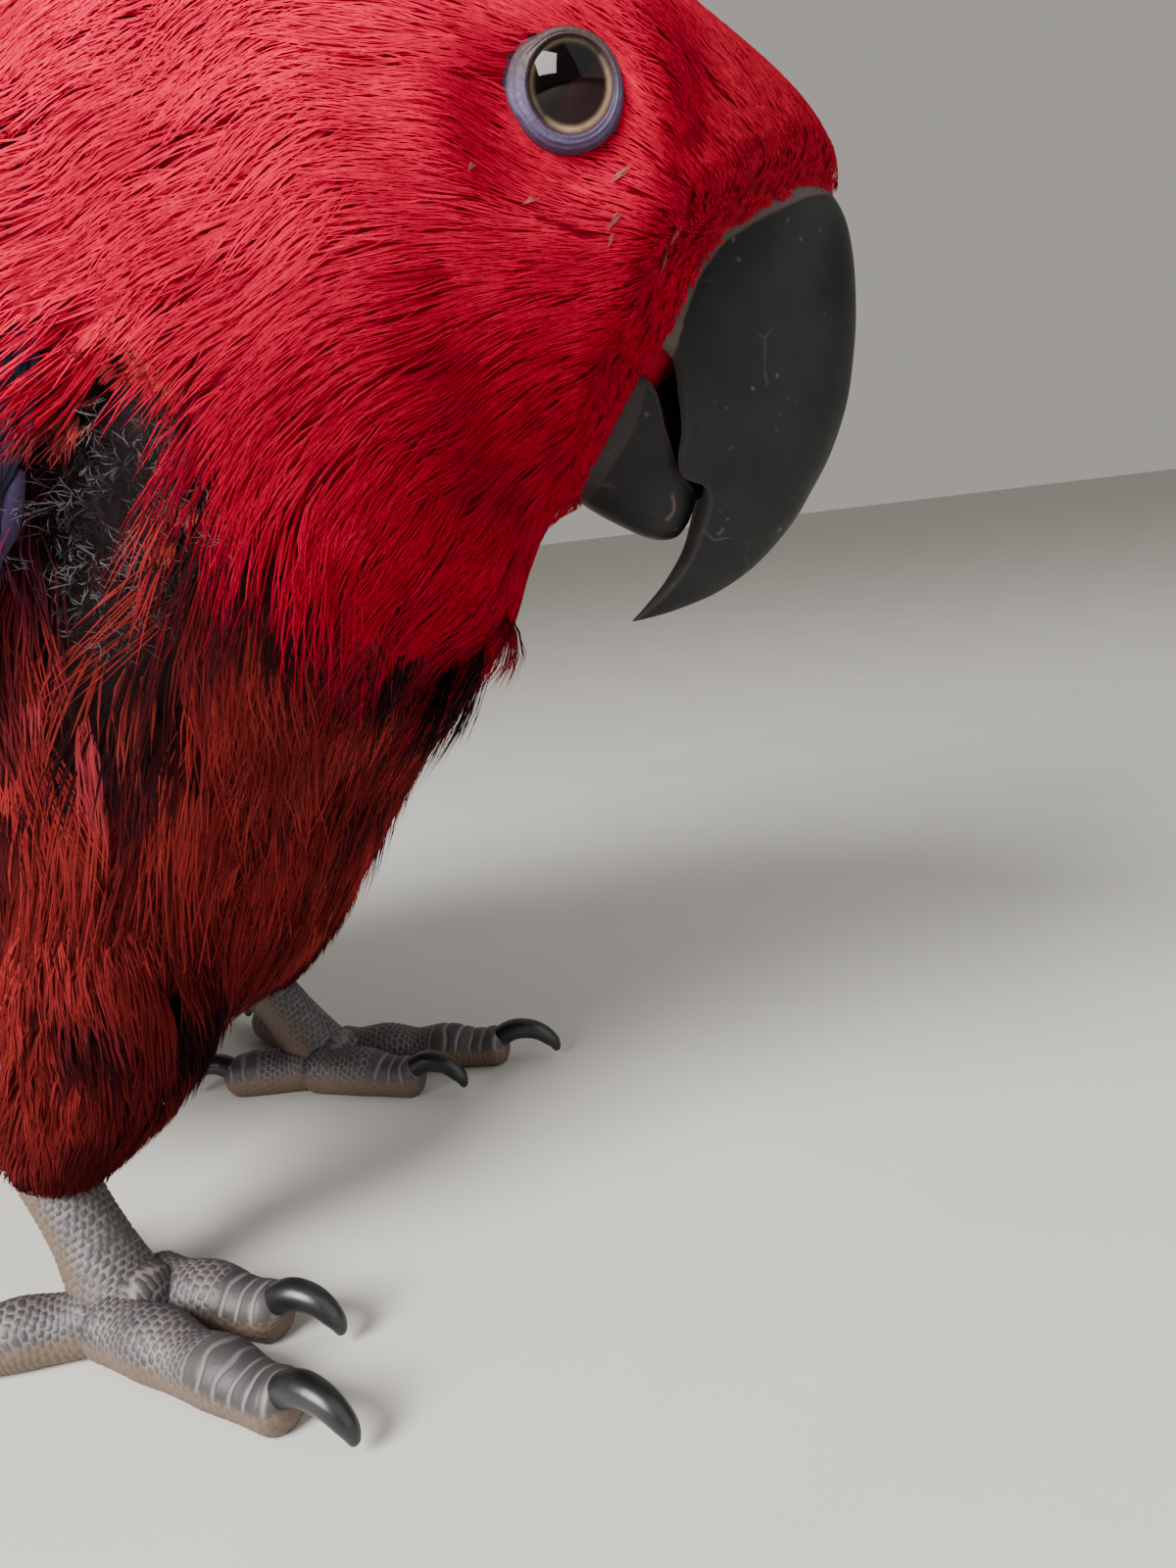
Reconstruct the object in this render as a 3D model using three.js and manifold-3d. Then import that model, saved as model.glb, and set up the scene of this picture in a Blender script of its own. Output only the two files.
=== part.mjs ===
// Eclectus parrot, an adult female in moult, standing on the floor as a still, life-size model.
// Millimetres. The bird's own frame has x forward, y to its left and z up from the floor.
// The body is a loft through a few sections. The folded wings lie on the same sections,
// carried on behind the rump, so every feather follows the form that it grows from.

import * as THREE from 'three';
import { mergeVertices } from 'three/addons/utils/BufferGeometryUtils.js';
import Module from 'manifold-3d';

const wasm = await Module();
wasm.setup();

// Driving dimensions
const GAP = 0.3;
const BILL_GAP = 0.62;
const FLOOR_DIP = 0.35;
const SLIVER = 0.03;
const BODY_SIDES = 24;
const BODY_HALF_WIDTH = 34;
const HEAD_HALF_WIDTH = 20.5;
const BILL_HALF_WIDTH = 9.4;
const EYE_RADIUS = 6;
const LID_RADIUS = 4.9;
const TARSUS_RADIUS = 3.9;
const TOE_RADIUS = 3.7;
const TOE_START = 3.2;
const VANE_THICK = 0.55;
const TAIL_LENGTH = 108;
const TAIL_TIP_HEIGHT = 0.15;

const deg = (angle) => angle * Math.PI / 180;
const vec = (x, y, z) => new THREE.Vector3(x, y, z);

// Head frame: the head is turned about 20 degrees left, tipped 10 degrees to the right
// and lowered, so the bill points to the floor.
const HEAD_ORIGIN = vec(65.5, -6.2, 101.6);
const HEAD_FORWARD = vec(0.932, 0.343, -0.119).normalize();
const HEAD_UP = vec(0.173, -0.130, 0.976).normalize();
const HEAD_LEFT = new THREE.Vector3().crossVectors(HEAD_UP, HEAD_FORWARD).normalize();

function onHead(forward, up, left = 0) {
  return HEAD_ORIGIN.clone()
    .addScaledVector(HEAD_FORWARD, forward)
    .addScaledVector(HEAD_UP, up)
    .addScaledVector(HEAD_LEFT, left);
}

// A station is one cross section: the points at its top and bottom, its half width, how
// square it is, how far its sides bow back, and how far it has turned with the head.
function station(top, bottom, half, turn = 0, square = 2.1, bow = 0) {
  return { top, bottom, half, turn, square, bow };
}

const TORSO_STATIONS = [
  station(vec(-106, 0, 44), vec(-101, 0, 31), 10),
  station(vec(-88, 0, 60), vec(-86, 0, 26), BODY_HALF_WIDTH * 0.62),
  station(vec(-64, 0, 78), vec(-58, 0, 21.5), BODY_HALF_WIDTH * 0.86),
  station(vec(-40, 0, 95), vec(-27, 0, 20), BODY_HALF_WIDTH * 0.98),
  station(vec(-15, -1, 111), vec(8, 0, 27), BODY_HALF_WIDTH),
  station(vec(2, -5, 125), vec(33, -1, 54), BODY_HALF_WIDTH * 0.97, 0.1),
  station(vec(15, -10, 133.5), vec(47.5, -3, 67.5), BODY_HALF_WIDTH * 0.9, 0.35),
];

const NECK_STATIONS = [
  station(vec(30, -17, 136), onHead(-8.5, -31.5), 27.5, 0.7),
  station(onHead(-29, 29.5), onHead(-6.6, -26), 24.5, 0.95, 2.2),
];

const HEAD_STATIONS = [
  station(onHead(-19.3, 31.5), onHead(-5.3, -22.7), HEAD_HALF_WIDTH * 1.09, 1, 2.28),
  station(onHead(-9, 30), onHead(-4.6, -21.5), HEAD_HALF_WIDTH * 1.04, 1, 2.3),
  station(onHead(1.2, 26.6), onHead(-3.9, -20.8), HEAD_HALF_WIDTH * 0.98, 1, 2.28),
  station(onHead(10, 21.5), onHead(-3.1, -20.3), HEAD_HALF_WIDTH * 0.92, 1, 2.18, -0.5),
  station(onHead(17.2, 16.6), onHead(-2.4, -20), HEAD_HALF_WIDTH * 0.79, 1, 2.1, -1.5),
  station(onHead(21.3, 12.1), onHead(-1.7, -19.7), HEAD_HALF_WIDTH * 0.64, 1, 2, -3),
  station(onHead(22.2, 8.2), onHead(-0.9, -19.3), HEAD_HALF_WIDTH * 0.5, 1, 2, -4.5),
];

const BODY_STATIONS = [...TORSO_STATIONS, ...NECK_STATIONS, ...HEAD_STATIONS];
const NECK_CUT = TORSO_STATIONS.length - 0.9;
const HEAD_CUT = TORSO_STATIONS.length + NECK_STATIONS.length - 0.7;

// Behind the rump the wings lie on flat sections that follow the tail down to the floor.
const WING_STATIONS = [
  station(vec(-196, 0, 14), vec(-192, 0, -4), 17),
  station(vec(-172, 0, 22), vec(-167, 0, 0), 19),
  station(vec(-148, 0, 31.5), vec(-143, 0, 4), 21),
  station(vec(-126, 0, 42), vec(-120, 0, 11), 23),
  station(vec(-106, 0, 52.5), vec(-101, 0, 20), 25),
  station(vec(-88, 0, 62), vec(-86, 0, 25), 27.5),
  station(vec(-64, 0, 79), vec(-58, 0, 21.5), 31),
  ...TORSO_STATIONS.slice(3),
  NECK_STATIONS[0],
];

// Wing layout, in places along WING_STATIONS and degrees round from the back's ridge.
const CARPAL = 9.8;
const WING_CLEAR = 0.9;
const PRIMARY_COUNT = 5;
const SECONDARY_COUNT = 8;
const COVERT_COUNT = 7;

// Tail
const RECTRIX_PAIRS = 6;
const RECTRIX_HALF = 7.6;
const RECTRIX_SPREAD = 12;
const RECTRIX_PITCH = 0.9;
const TAIL_ROOF = 0.03;
const TAIL_ROOT = vec(-99, 0, 37.5);

// Legs: the ankle and the middle of the foot, right and left
const LEGS = {
  right: { side: -1, hip: vec(2, -12, 54), ankle: vec(-2, -28, 19), foot: vec(7, -30, 0) },
  left: { side: 1, hip: vec(-6, 12, 54), ankle: vec(-14, 27, 19), foot: vec(-5, 29, 0) },
};

// Toes: how far the toe reaches, how far its claw reaches past it, its heading out from
// straight ahead, and how far out its root lies from the middle of the foot
const TOES = {
  hallux: { reach: 14, claw: 5.5, heading: -160, offset: -2.8 },
  inner: { reach: 18.5, claw: 6, heading: 2, offset: -3.5 },
  outer: { reach: 28, claw: 7, heading: 12, offset: 3.5 },
  rear: { reach: 25, claw: 6.5, heading: 150, offset: 2.8 },
};

// Materials
const skinRed = { color: 0xb0101a, roughness: 0.85, metalness: 0 };
const plumageMaterials = {
  head: new THREE.MeshStandardMaterial(skinRed),
  back: new THREE.MeshStandardMaterial({ color: 0x5a1220, roughness: 0.85, metalness: 0 }),
  wing: new THREE.MeshStandardMaterial({ color: 0x4a1226, roughness: 0.8, metalness: 0 }),
  tail: new THREE.MeshStandardMaterial({ color: 0xc03a18, roughness: 0.8, metalness: 0 }),
};
const billMaterial = new THREE.MeshStandardMaterial({ color: 0x1c1d20, roughness: 0.5, metalness: 0 });
const eyeMaterial = new THREE.MeshStandardMaterial({ color: 0x140d0a, roughness: 0.05, metalness: 0 });
const lidMaterial = new THREE.MeshStandardMaterial({ color: 0x5f5a86, roughness: 0.7, metalness: 0 });
const scaleMaterial = new THREE.MeshStandardMaterial({ color: 0x6f6866, roughness: 0.7, metalness: 0 });
const clawMaterial = new THREE.MeshStandardMaterial({ color: 0x141517, roughness: 0.35, metalness: 0 });

const bird = new THREE.Group();
const FLOOR_UP = [0, 0, 1];

// Solids and meshes

function solid(geometry) {
  const bare = geometry.clone();
  bare.deleteAttribute('normal');
  bare.deleteAttribute('uv');
  const merged = mergeVertices(bare, 1e-4);
  return new wasm.Manifold(new wasm.Mesh({
    numProp: 3,
    vertProperties: new Float32Array(merged.attributes.position.array),
    triVerts: new Uint32Array(merged.index.array),
  }));
}

function largest(body) {
  const pieces = body.decompose();
  pieces.sort((a, b) => b.volume() - a.volume());
  return pieces[0];
}

function joined(pieces) {
  return pieces.reduce((sum, piece) => sum.add(piece));
}

function addNode(name, body, material) {
  const mesh = largest(body).simplify(SLIVER).getMesh();
  const geometry = new THREE.BufferGeometry();
  const positions = new Float32Array(mesh.numVert * 3);
  for (let i = 0; i < mesh.numVert; i += 1) {
    positions.set(mesh.vertProperties.subarray(i * mesh.numProp, i * mesh.numProp + 3), i * 3);
  }
  geometry.setAttribute('position', new THREE.BufferAttribute(positions, 3));
  geometry.setIndex(new THREE.BufferAttribute(new Uint32Array(mesh.triVerts), 1));
  const node = new THREE.Mesh(geometry, material);
  node.name = name;
  bird.add(node);
}

// A closed skin over rings of equal count, each end closed to one point.
function loft(rings, startPoint, endPoint) {
  const count = rings[0].length;
  const points = [startPoint, ...rings.flat(), endPoint];
  const index = [];
  const last = points.length - 1;
  const at = (ring, i) => 1 + ring * count + (i % count);
  for (let i = 0; i < count; i += 1) {
    index.push(0, at(0, i + 1), at(0, i));
    index.push(last, at(rings.length - 1, i), at(rings.length - 1, i + 1));
  }
  for (let ring = 0; ring < rings.length - 1; ring += 1) {
    for (let i = 0; i < count; i += 1) {
      index.push(at(ring, i), at(ring, i + 1), at(ring + 1, i));
      index.push(at(ring, i + 1), at(ring + 1, i + 1), at(ring + 1, i));
    }
  }
  const geometry = new THREE.BufferGeometry().setFromPoints(points);
  geometry.setIndex(index);
  const body = solid(geometry);
  return body.volume() > 0 ? body : solid(flipped(geometry));
}

function flipped(geometry) {
  const turned = geometry.clone();
  const index = turned.index.array;
  for (let i = 0; i < index.length; i += 3) {
    [index[i], index[i + 1]] = [index[i + 1], index[i]];
  }
  return turned;
}

// Moves the end rings outward along the loft, so that a grown copy is grown at its ends too.
function lengthened(rings, grow) {
  const nudge = (ring, next) => {
    const push = middle(ring).sub(middle(next)).setLength(grow);
    return ring.map((point) => point.clone().add(push));
  };
  const count = rings.length;
  return rings.map((ring, i) => {
    if (i === 0) return nudge(ring, rings[1]);
    if (i === count - 1) return nudge(ring, rings[count - 2]);
    return ring;
  });
}

function middle(points) {
  const sum = points.reduce((total, point) => total.add(point), vec(0, 0, 0));
  return sum.multiplyScalar(1 / points.length);
}

// A round limb through points with a radius at each. One smaller ring beyond each end and a
// point beyond that round the ends off. No limb runs straight to the side.
const CAP_PUSH = 0.7;
const CAP_SHRINK = 0.72;

function limb(points, radii, { steps, sides, grow = 0 }) {
  const curve = new THREE.CatmullRomCurve3(points, false, 'centripetal');
  const radiusAt = (t) => {
    const place = t * (radii.length - 1);
    const low = Math.min(Math.floor(place), radii.length - 2);
    return THREE.MathUtils.lerp(radii[low], radii[low + 1], place - low) + grow;
  };
  const places = [{ t: 0, push: -CAP_PUSH, shrink: CAP_SHRINK }];
  for (let i = 0; i <= steps; i += 1) {
    places.push({ t: i / steps, push: 0, shrink: 1 });
  }
  places.push({ t: 1, push: CAP_PUSH, shrink: CAP_SHRINK });
  const ringAt = ({ t, push, shrink }) => {
    const radius = radiusAt(t);
    const tangent = curve.getTangent(t);
    const across = new THREE.Vector3().crossVectors(vec(0, 1, 0), tangent).normalize();
    const over = new THREE.Vector3().crossVectors(tangent, across).normalize();
    const centre = curve.getPoint(t).addScaledVector(tangent, push * radius);
    return Array.from({ length: sides }, (unused, i) => {
      const angle = 2 * Math.PI * i / sides;
      return centre.clone()
        .addScaledVector(across, Math.cos(angle) * radius * shrink)
        .addScaledVector(over, Math.sin(angle) * radius * shrink);
    });
  };
  const startPoint = curve.getPoint(0).addScaledVector(curve.getTangent(0), -radiusAt(0));
  const endPoint = curve.getPoint(1).addScaledVector(curve.getTangent(1), radiusAt(1));
  return loft(places.map(ringAt), startPoint, endPoint);
}

// Sections of the body

function smoothValue(values, place) {
  const low = Math.min(Math.max(Math.floor(place), 0), values.length - 2);
  const t = place - low;
  const before = values[Math.max(low - 1, 0)];
  const [a, b] = [values[low], values[low + 1]];
  const after = values[Math.min(low + 2, values.length - 1)];
  const slopeA = (b - before) / 2;
  const slopeB = (after - a) / 2;
  const t2 = t * t;
  const t3 = t2 * t;
  return a * (2 * t3 - 3 * t2 + 1) + slopeA * (t3 - 2 * t2 + t)
    + b * (3 * t2 - 2 * t3) + slopeB * (t3 - t2);
}

function smoothPoint(points, place) {
  const along = (axis) => smoothValue(points.map((point) => point[axis]), place);
  return vec(along('x'), along('y'), along('z'));
}

function sectionAt(stations, place) {
  const value = (key) => smoothValue(stations.map((item) => item[key]), place);
  const top = smoothPoint(stations.map((item) => item.top), place);
  const bottom = smoothPoint(stations.map((item) => item.bottom), place);
  const up = top.clone().sub(bottom);
  const high = up.length() / 2;
  up.normalize();
  const left = vec(0, 1, 0).lerp(HEAD_LEFT, THREE.MathUtils.clamp(value('turn'), 0, 1));
  left.addScaledVector(up, -left.dot(up)).normalize();
  const forward = new THREE.Vector3().crossVectors(left, up);
  return {
    centre: top.clone().add(bottom).multiplyScalar(0.5),
    up, left, forward, high,
    half: value('half'), square: value('square'), bow: value('bow'),
  };
}

function sectionPoint(section, angle, lift = 0) {
  const power = 2 / section.square;
  const cosine = Math.sign(Math.cos(angle)) * Math.abs(Math.cos(angle)) ** power;
  const sine = Math.sign(Math.sin(angle)) * Math.abs(Math.sin(angle)) ** power;
  return section.centre.clone()
    .addScaledVector(section.up, (section.high + lift) * cosine)
    .addScaledVector(section.left, (section.half + lift) * sine)
    .addScaledVector(section.forward, section.bow * sine * sine);
}

// The whole body from rump to bill, in one skin. The face is drawn in behind the bill.
function wholeBody(grow = 0) {
  const steps = 2;
  const count = (BODY_STATIONS.length - 1) * steps;
  const rings = [];
  for (let i = 0; i <= count; i += 1) {
    const section = sectionAt(BODY_STATIONS, i / steps);
    const angles = Array.from({ length: BODY_SIDES }, (unused, k) => 2 * Math.PI * k / BODY_SIDES);
    rings.push(angles.map((angle) => sectionPoint(section, angle, grow)));
  }
  const ends = lengthened(rings, grow);
  const rump = sectionAt(BODY_STATIONS, 0);
  const rumpEnd = rump.centre.clone().addScaledVector(rump.forward, -2 - grow);
  return loft(ends, rumpEnd, onHead(6 + grow, -7));
}

// Plane of a section, as a normal toward the head and a distance along it
function cutPlane(place) {
  const section = sectionAt(BODY_STATIONS, place);
  return { normal: section.forward.toArray(), offset: section.forward.dot(section.centre) };
}

function aheadOf(body, plane) {
  return body.trimByPlane(plane.normal, plane.offset + GAP / 2);
}

function behind(body, plane) {
  const back = plane.normal.map((value) => -value);
  return body.trimByPlane(back, -plane.offset + GAP / 2);
}

// Bill

// Each row is the culmen point, the edge point behind it and the half width, in the head frame.
const UPPER_BILL = [
  [[19, 11], [0, -3], 0.94],
  [[23.2, 6.6], [5, -4], 1],
  [[24.9, 1.2], [7.4, -6.5], 1],
  [[25.2, -6], [8, -11], 0.95],
  [[24.3, -12.6], [9.4, -15.6], 0.85],
  [[21.4, -19.2], [10.9, -18.6], 0.7],
  [[17.6, -24.6], [10.8, -21.6], 0.52],
  [[12.6, -28.4], [9.4, -25.4], 0.34],
  [[8, -30.4], [6.9, -28.6], 0.17],
];
const BILL_TIP = [4.9, -31.3];

const LOWER_BILL = [
  [[-1, -5], [-6, -15], 0.9],
  [[5.2, -7], [-0.7, -19.2], 0.95],
  [[7.6, -12], [3.6, -21.5], 0.9],
  [[9.6, -15.6], [7, -22.9], 0.74],
  [[10.6, -18.8], [9.6, -22.5], 0.45],
];

// The front of a bill section is round and its back is flat, as its cutting edges are.
function billRing(outer, inner, half, grow) {
  const count = 16;
  const front = onHead(...outer);
  const back = onHead(...inner);
  const depth = front.clone().sub(back);
  const long = depth.length();
  depth.normalize();
  return Array.from({ length: count }, (unused, i) => {
    const angle = 2 * Math.PI * i / count;
    const cosine = Math.cos(angle);
    const blunt = cosine < 0 ? Math.abs(cosine) ** 0.45 * -0.16 : cosine;
    const width = cosine < 0 ? Math.abs(Math.sin(angle)) ** 0.6 : Math.abs(Math.sin(angle));
    return back.clone()
      .addScaledVector(depth, long * (0.16 + 0.84 * blunt) + grow * cosine)
      .addScaledVector(HEAD_LEFT, Math.sign(Math.sin(angle)) * width * (half + grow));
  });
}

function smoothRows(rows, steps) {
  const result = [];
  const count = (rows.length - 1) * steps;
  for (let i = 0; i <= count; i += 1) {
    const place = i / steps;
    const value = (pick) => smoothValue(rows.map(pick), place);
    const outer = [value((row) => row[0][0]), value((row) => row[0][1])];
    const inner = [value((row) => row[1][0]), value((row) => row[1][1])];
    result.push([outer, inner, value((row) => row[2])]);
  }
  return result;
}

function upperBill(grow = 0) {
  const rings = smoothRows(UPPER_BILL, 2)
    .map(([outer, inner, part]) => billRing(outer, inner, part * BILL_HALF_WIDTH, grow));
  const ends = lengthened(rings, grow);
  return loft(ends, middle(ends[0]), onHead(...BILL_TIP));
}

function lowerBill(grow = 0) {
  const rings = smoothRows(LOWER_BILL, 2)
    .map(([edge, keel, part]) => billRing(keel, edge, part * BILL_HALF_WIDTH, grow));
  const ends = lengthened(rings, grow);
  return loft(ends, middle(ends[0]), middle(ends[ends.length - 1]));
}

// Eyes

const EYE_PLACE = { forward: -1.2, up: 14.4, out: 14.2 };

function eyeAxis(side) {
  return HEAD_LEFT.clone().multiplyScalar(side)
    .addScaledVector(HEAD_FORWARD, 0.14)
    .addScaledVector(HEAD_UP, 0.1)
    .normalize();
}

function eyeCentre(side) {
  return onHead(EYE_PLACE.forward, EYE_PLACE.up, side * EYE_PLACE.out);
}

function placed(geometry, centre, axis, from = vec(0, 0, 1)) {
  const turned = geometry.clone();
  turned.applyQuaternion(new THREE.Quaternion().setFromUnitVectors(from, axis));
  turned.translate(centre.x, centre.y, centre.z);
  return turned;
}

function eyeball(side, grow = 0) {
  const ball = new THREE.SphereGeometry(EYE_RADIUS + grow, 16, 10);
  return solid(placed(ball, eyeCentre(side), eyeAxis(side), vec(0, 1, 0)));
}

// The lids make a rounded ring that lies round the eye and stands a little proud of the face.
function eyelids(side, grow = 0) {
  const ring = new THREE.TorusGeometry(LID_RADIUS - 0.25, 1.25 + grow, 5, 14);
  const centre = eyeCentre(side).addScaledVector(eyeAxis(side), EYE_RADIUS * 0.74);
  return solid(placed(ring, centre, eyeAxis(side)));
}

// Wings

function wingSection(place) {
  return sectionAt(WING_STATIONS, place);
}

function wingPoint(side, place, degrees, lift) {
  return sectionPoint(wingSection(place), side * deg(degrees), lift);
}

// A closed plate between two grids of points.
function plate(outer, inner, rows, columns) {
  const wide = columns + 1;
  const shift = outer.length;
  const index = [];
  const quad = (a, b, c, d) => index.push(a, b, c, a, c, d);
  for (let r = 0; r < rows; r += 1) {
    for (let c = 0; c < columns; c += 1) {
      const [a, b] = [r * wide + c, r * wide + c + 1];
      quad(a, b, b + wide, a + wide);
      quad(shift + a, shift + a + wide, shift + b + wide, shift + b);
    }
  }
  const rim = [];
  for (let c = 0; c < columns; c += 1) rim.push(c);
  for (let r = 0; r < rows; r += 1) rim.push(r * wide + columns);
  for (let c = columns; c > 0; c -= 1) rim.push(rows * wide + c);
  for (let r = rows; r > 0; r -= 1) rim.push(r * wide);
  rim.forEach((a, i) => {
    const b = rim[(i + 1) % rim.length];
    quad(a, shift + a, shift + b, b);
  });
  const geometry = new THREE.BufferGeometry().setFromPoints([...outer, ...inner]);
  geometry.setIndex(index);
  const body = solid(geometry);
  return body.volume() > 0 ? body : solid(flipped(geometry));
}

// One feather vane: a thin tapered plate through five cross sections. `edge` gives a point
// on it from the distance along, the distance across and the height over its middle.
const VANE_PLACES = [0, 0.3, 0.68, 0.92, 1];
const VANE_WIDTHS = [0.55, 0.95, 1, 0.68, 0.2];

function vane(half, edge) {
  const thin = VANE_THICK * 0.42;
  const rings = VANE_PLACES.map((t, i) => {
    const width = half * VANE_WIDTHS[i];
    return [
      edge(t, -width, -thin), edge(t, 0, -VANE_THICK / 2), edge(t, width, -thin),
      edge(t, width, thin), edge(t, 0, VANE_THICK / 2), edge(t, -width, thin),
    ];
  });
  return loft(rings, middle(rings[0]), middle(rings[rings.length - 1]));
}

// A wing vane follows the wing's surface. Its lower edge is raised by the tilt, so that it
// lies over the feather below it, and its upper edge goes under the one above.
function wingVane(side, { root, tip, half, lift, tilt }) {
  const lerp = THREE.MathUtils.lerp;
  const step = 0.05;
  const edge = (t, across, height) => {
    const place = lerp(root[0], tip[0], t);
    const degrees = lerp(root[1], tip[1], t);
    const high = lerp(lift[0], lift[1], t);
    const here = wingPoint(side, place, degrees, high);
    const out = wingPoint(side, place, degrees, high + 1).sub(here).normalize();
    const forward = wingPoint(side, place + step, degrees, high).sub(here).divideScalar(step);
    const round = wingPoint(side, place, degrees + 1, high).sub(here);
    const turn = (tip[1] - root[1]) / (tip[0] - root[0]);
    const along = forward.clone().addScaledVector(round, turn).normalize();
    const sideways = new THREE.Vector3().crossVectors(along, out).multiplyScalar(side);
    // The sideways step, taken apart into steps along and round the wing's sections
    const [a, b, c] = [forward.dot(forward), forward.dot(round), round.dot(round)];
    const [p, q] = [forward.dot(sideways), round.dot(sideways)];
    const scale = across / (a * c - b * b);
    return wingPoint(
      side,
      place + (c * p - b * q) * scale,
      degrees + (a * q - b * p) * scale,
      high + height - tilt * across,
    );
  };
  return vane(half, edge);
}

// A row of vanes between its lowest and its highest one. `reach` draws the tips back.
function wingRow(side, count, low, high, reach = () => 0) {
  const mix = (a, b, t) => a.map((value, i) => THREE.MathUtils.lerp(value, b[i], t));
  return Array.from({ length: count }, (unused, i) => {
    const t = i / (count - 1);
    const tip = mix(low.tip, high.tip, t);
    tip[0] -= reach(t);
    return wingVane(side, {
      root: mix(low.root, high.root, t),
      tip,
      half: THREE.MathUtils.lerp(low.half, high.half, t),
      lift: mix(low.lift, high.lift, t),
      tilt: THREE.MathUtils.lerp(low.tilt, high.tilt, t),
    });
  });
}

// Each row of the arm's outline is the place, its lower and upper edge and its thickness.
const ARM_OUTLINE = [
  [CARPAL, 84, 56, 2.6],
  [9.2, 93, 46, 4.6],
  [8.2, 97, 34, 5.4],
  [7, 98, 24, 4.2],
  [5.9, 95, 26, 2.6],
  [4.9, 90, 38, 1.8],
];

// The arm and hand under their small coverts: a smooth pad that every vane grows from.
function wingArm(side) {
  const [rows, columns] = [8, 6];
  const outer = [];
  const inner = [];
  for (let r = 0; r <= rows; r += 1) {
    const along = (r / rows) * (ARM_OUTLINE.length - 1);
    const value = (key) => smoothValue(ARM_OUTLINE.map((row) => row[key]), along);
    for (let c = 0; c <= columns; c += 1) {
      const t = c / columns;
      const round = Math.sin(Math.PI * (0.06 + 0.88 * t)) ** 0.6;
      const degrees = THREE.MathUtils.lerp(value(1), value(2), t);
      outer.push(wingPoint(side, value(0), degrees, WING_CLEAR + 0.5 + value(3) * round));
      inner.push(wingPoint(side, value(0), degrees, WING_CLEAR));
    }
  }
  return plate(outer, inner, rows, columns);
}

function wing(side) {
  const primaries = wingRow(
    side, PRIMARY_COUNT,
    { root: [5.6, 86], tip: [2.2, 64], half: 5.8, lift: [1.5, 1.3], tilt: 0.2 },
    { root: [5.4, 50], tip: [2.4, 36], half: 7, lift: [2.2, 5], tilt: 0.18 },
    (t) => 1.75 * Math.sin(Math.PI * (0.08 + 0.84 * t)),
  );
  const secondaries = wingRow(
    side, SECONDARY_COUNT,
    { root: [7.5, 92], tip: [4.5, 92], half: 6.8, lift: [3.6, 5.6], tilt: 0.16 },
    { root: [6.9, 29], tip: [3.9, 9], half: 8.2, lift: [3.9, 7], tilt: 0.16 },
    (t) => 0.5 * t,
  );
  const greaterCoverts = wingRow(
    side, COVERT_COUNT,
    { root: [8.1, 92], tip: [6.4, 95], half: 5.4, lift: [4, 7.3], tilt: 0.12 },
    { root: [7.7, 40], tip: [6, 27], half: 6.2, lift: [4, 7.6], tilt: 0.12 },
  );
  const medianCoverts = wingRow(
    side, COVERT_COUNT - 1,
    { root: [8.9, 88], tip: [7.6, 92], half: 5, lift: [4, 7.7], tilt: 0.1 },
    { root: [8.6, 46], tip: [7.3, 34], half: 5.8, lift: [4, 8.4], tilt: 0.1 },
  );
  const whole = joined([
    wingArm(side), ...primaries, ...secondaries, ...greaterCoverts, ...medianCoverts,
  ]);
  return whole.trimByPlane([0, side, 0], GAP / 2);
}

// Tail

// A tail vane runs straight back from its root, sagging a little on the way.
function tailVane({ root, tip, half, sag }) {
  const outward = tip.y < 0 ? -1 : 1;
  const edge = (t, across, height) => {
    const point = root.clone().lerp(tip, t);
    point.y += across;
    point.z += height - sag * Math.sin(Math.PI * t) - TAIL_ROOF * across * outward;
    return point;
  };
  return vane(half, edge);
}

// Six pairs of tail feathers in a flat stack, with the middle pair on top.
function rectrices() {
  const vanes = [];
  for (const side of [-1, 1]) {
    for (let i = 0; i < RECTRIX_PAIRS; i += 1) {
      const level = i === 0 && side < 0 ? RECTRIX_PAIRS : RECTRIX_PAIRS - 1 - i;
      const root = vec(0, side * (i === 0 ? 1.5 : 5 + i * 0.5), level * RECTRIX_PITCH - 3);
      const reach = TAIL_LENGTH - 1.5 * i;
      const out = i === 0 ? 3.4 : RECTRIX_SPREAD + 2.2 * (i - 1);
      vanes.push(tailVane({
        root: root.add(TAIL_ROOT),
        tip: vec(TAIL_ROOT.x - reach, side * out, TAIL_TIP_HEIGHT + level * RECTRIX_PITCH),
        half: RECTRIX_HALF,
        sag: 1.5,
      }));
    }
  }
  return vanes;
}

// The soft coverts under the tail, shorter toward its sides.
function underTailCoverts() {
  const count = 5;
  return Array.from({ length: count }, (unused, i) => {
    const place = 2 * i / (count - 1) - 1;
    const level = i % 2;
    const short = 9 * Math.abs(place);
    return tailVane({
      root: TAIL_ROOT.clone().add(vec(-4, place * 8, -6 - level)),
      tip: vec(TAIL_ROOT.x - 50 + short, place * 14, 13 + short / 3 - level),
      half: 4.7,
      sag: 2,
    });
  });
}

function tail() {
  const root = new THREE.SphereGeometry(1, 18, 10);
  root.scale(14, 9.5, 5.2);
  root.rotateY(-0.32);
  root.translate(TAIL_ROOT.x - 4, 0, TAIL_ROOT.z - 3);
  return joined([solid(root), ...rectrices(), ...underTailCoverts()]).trimByPlane(FLOOR_UP, 0);
}

// Legs

const THIGH_RADII = [9, 11.5, 11.5, 8.5, 5.8];

function thigh({ side, hip, ankle }) {
  const knee = hip.clone().lerp(ankle, 0.5).add(vec(10, side * 5, 0));
  return limb([hip, knee, ankle], THIGH_RADII, { steps: 7, sides: 12 });
}

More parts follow.
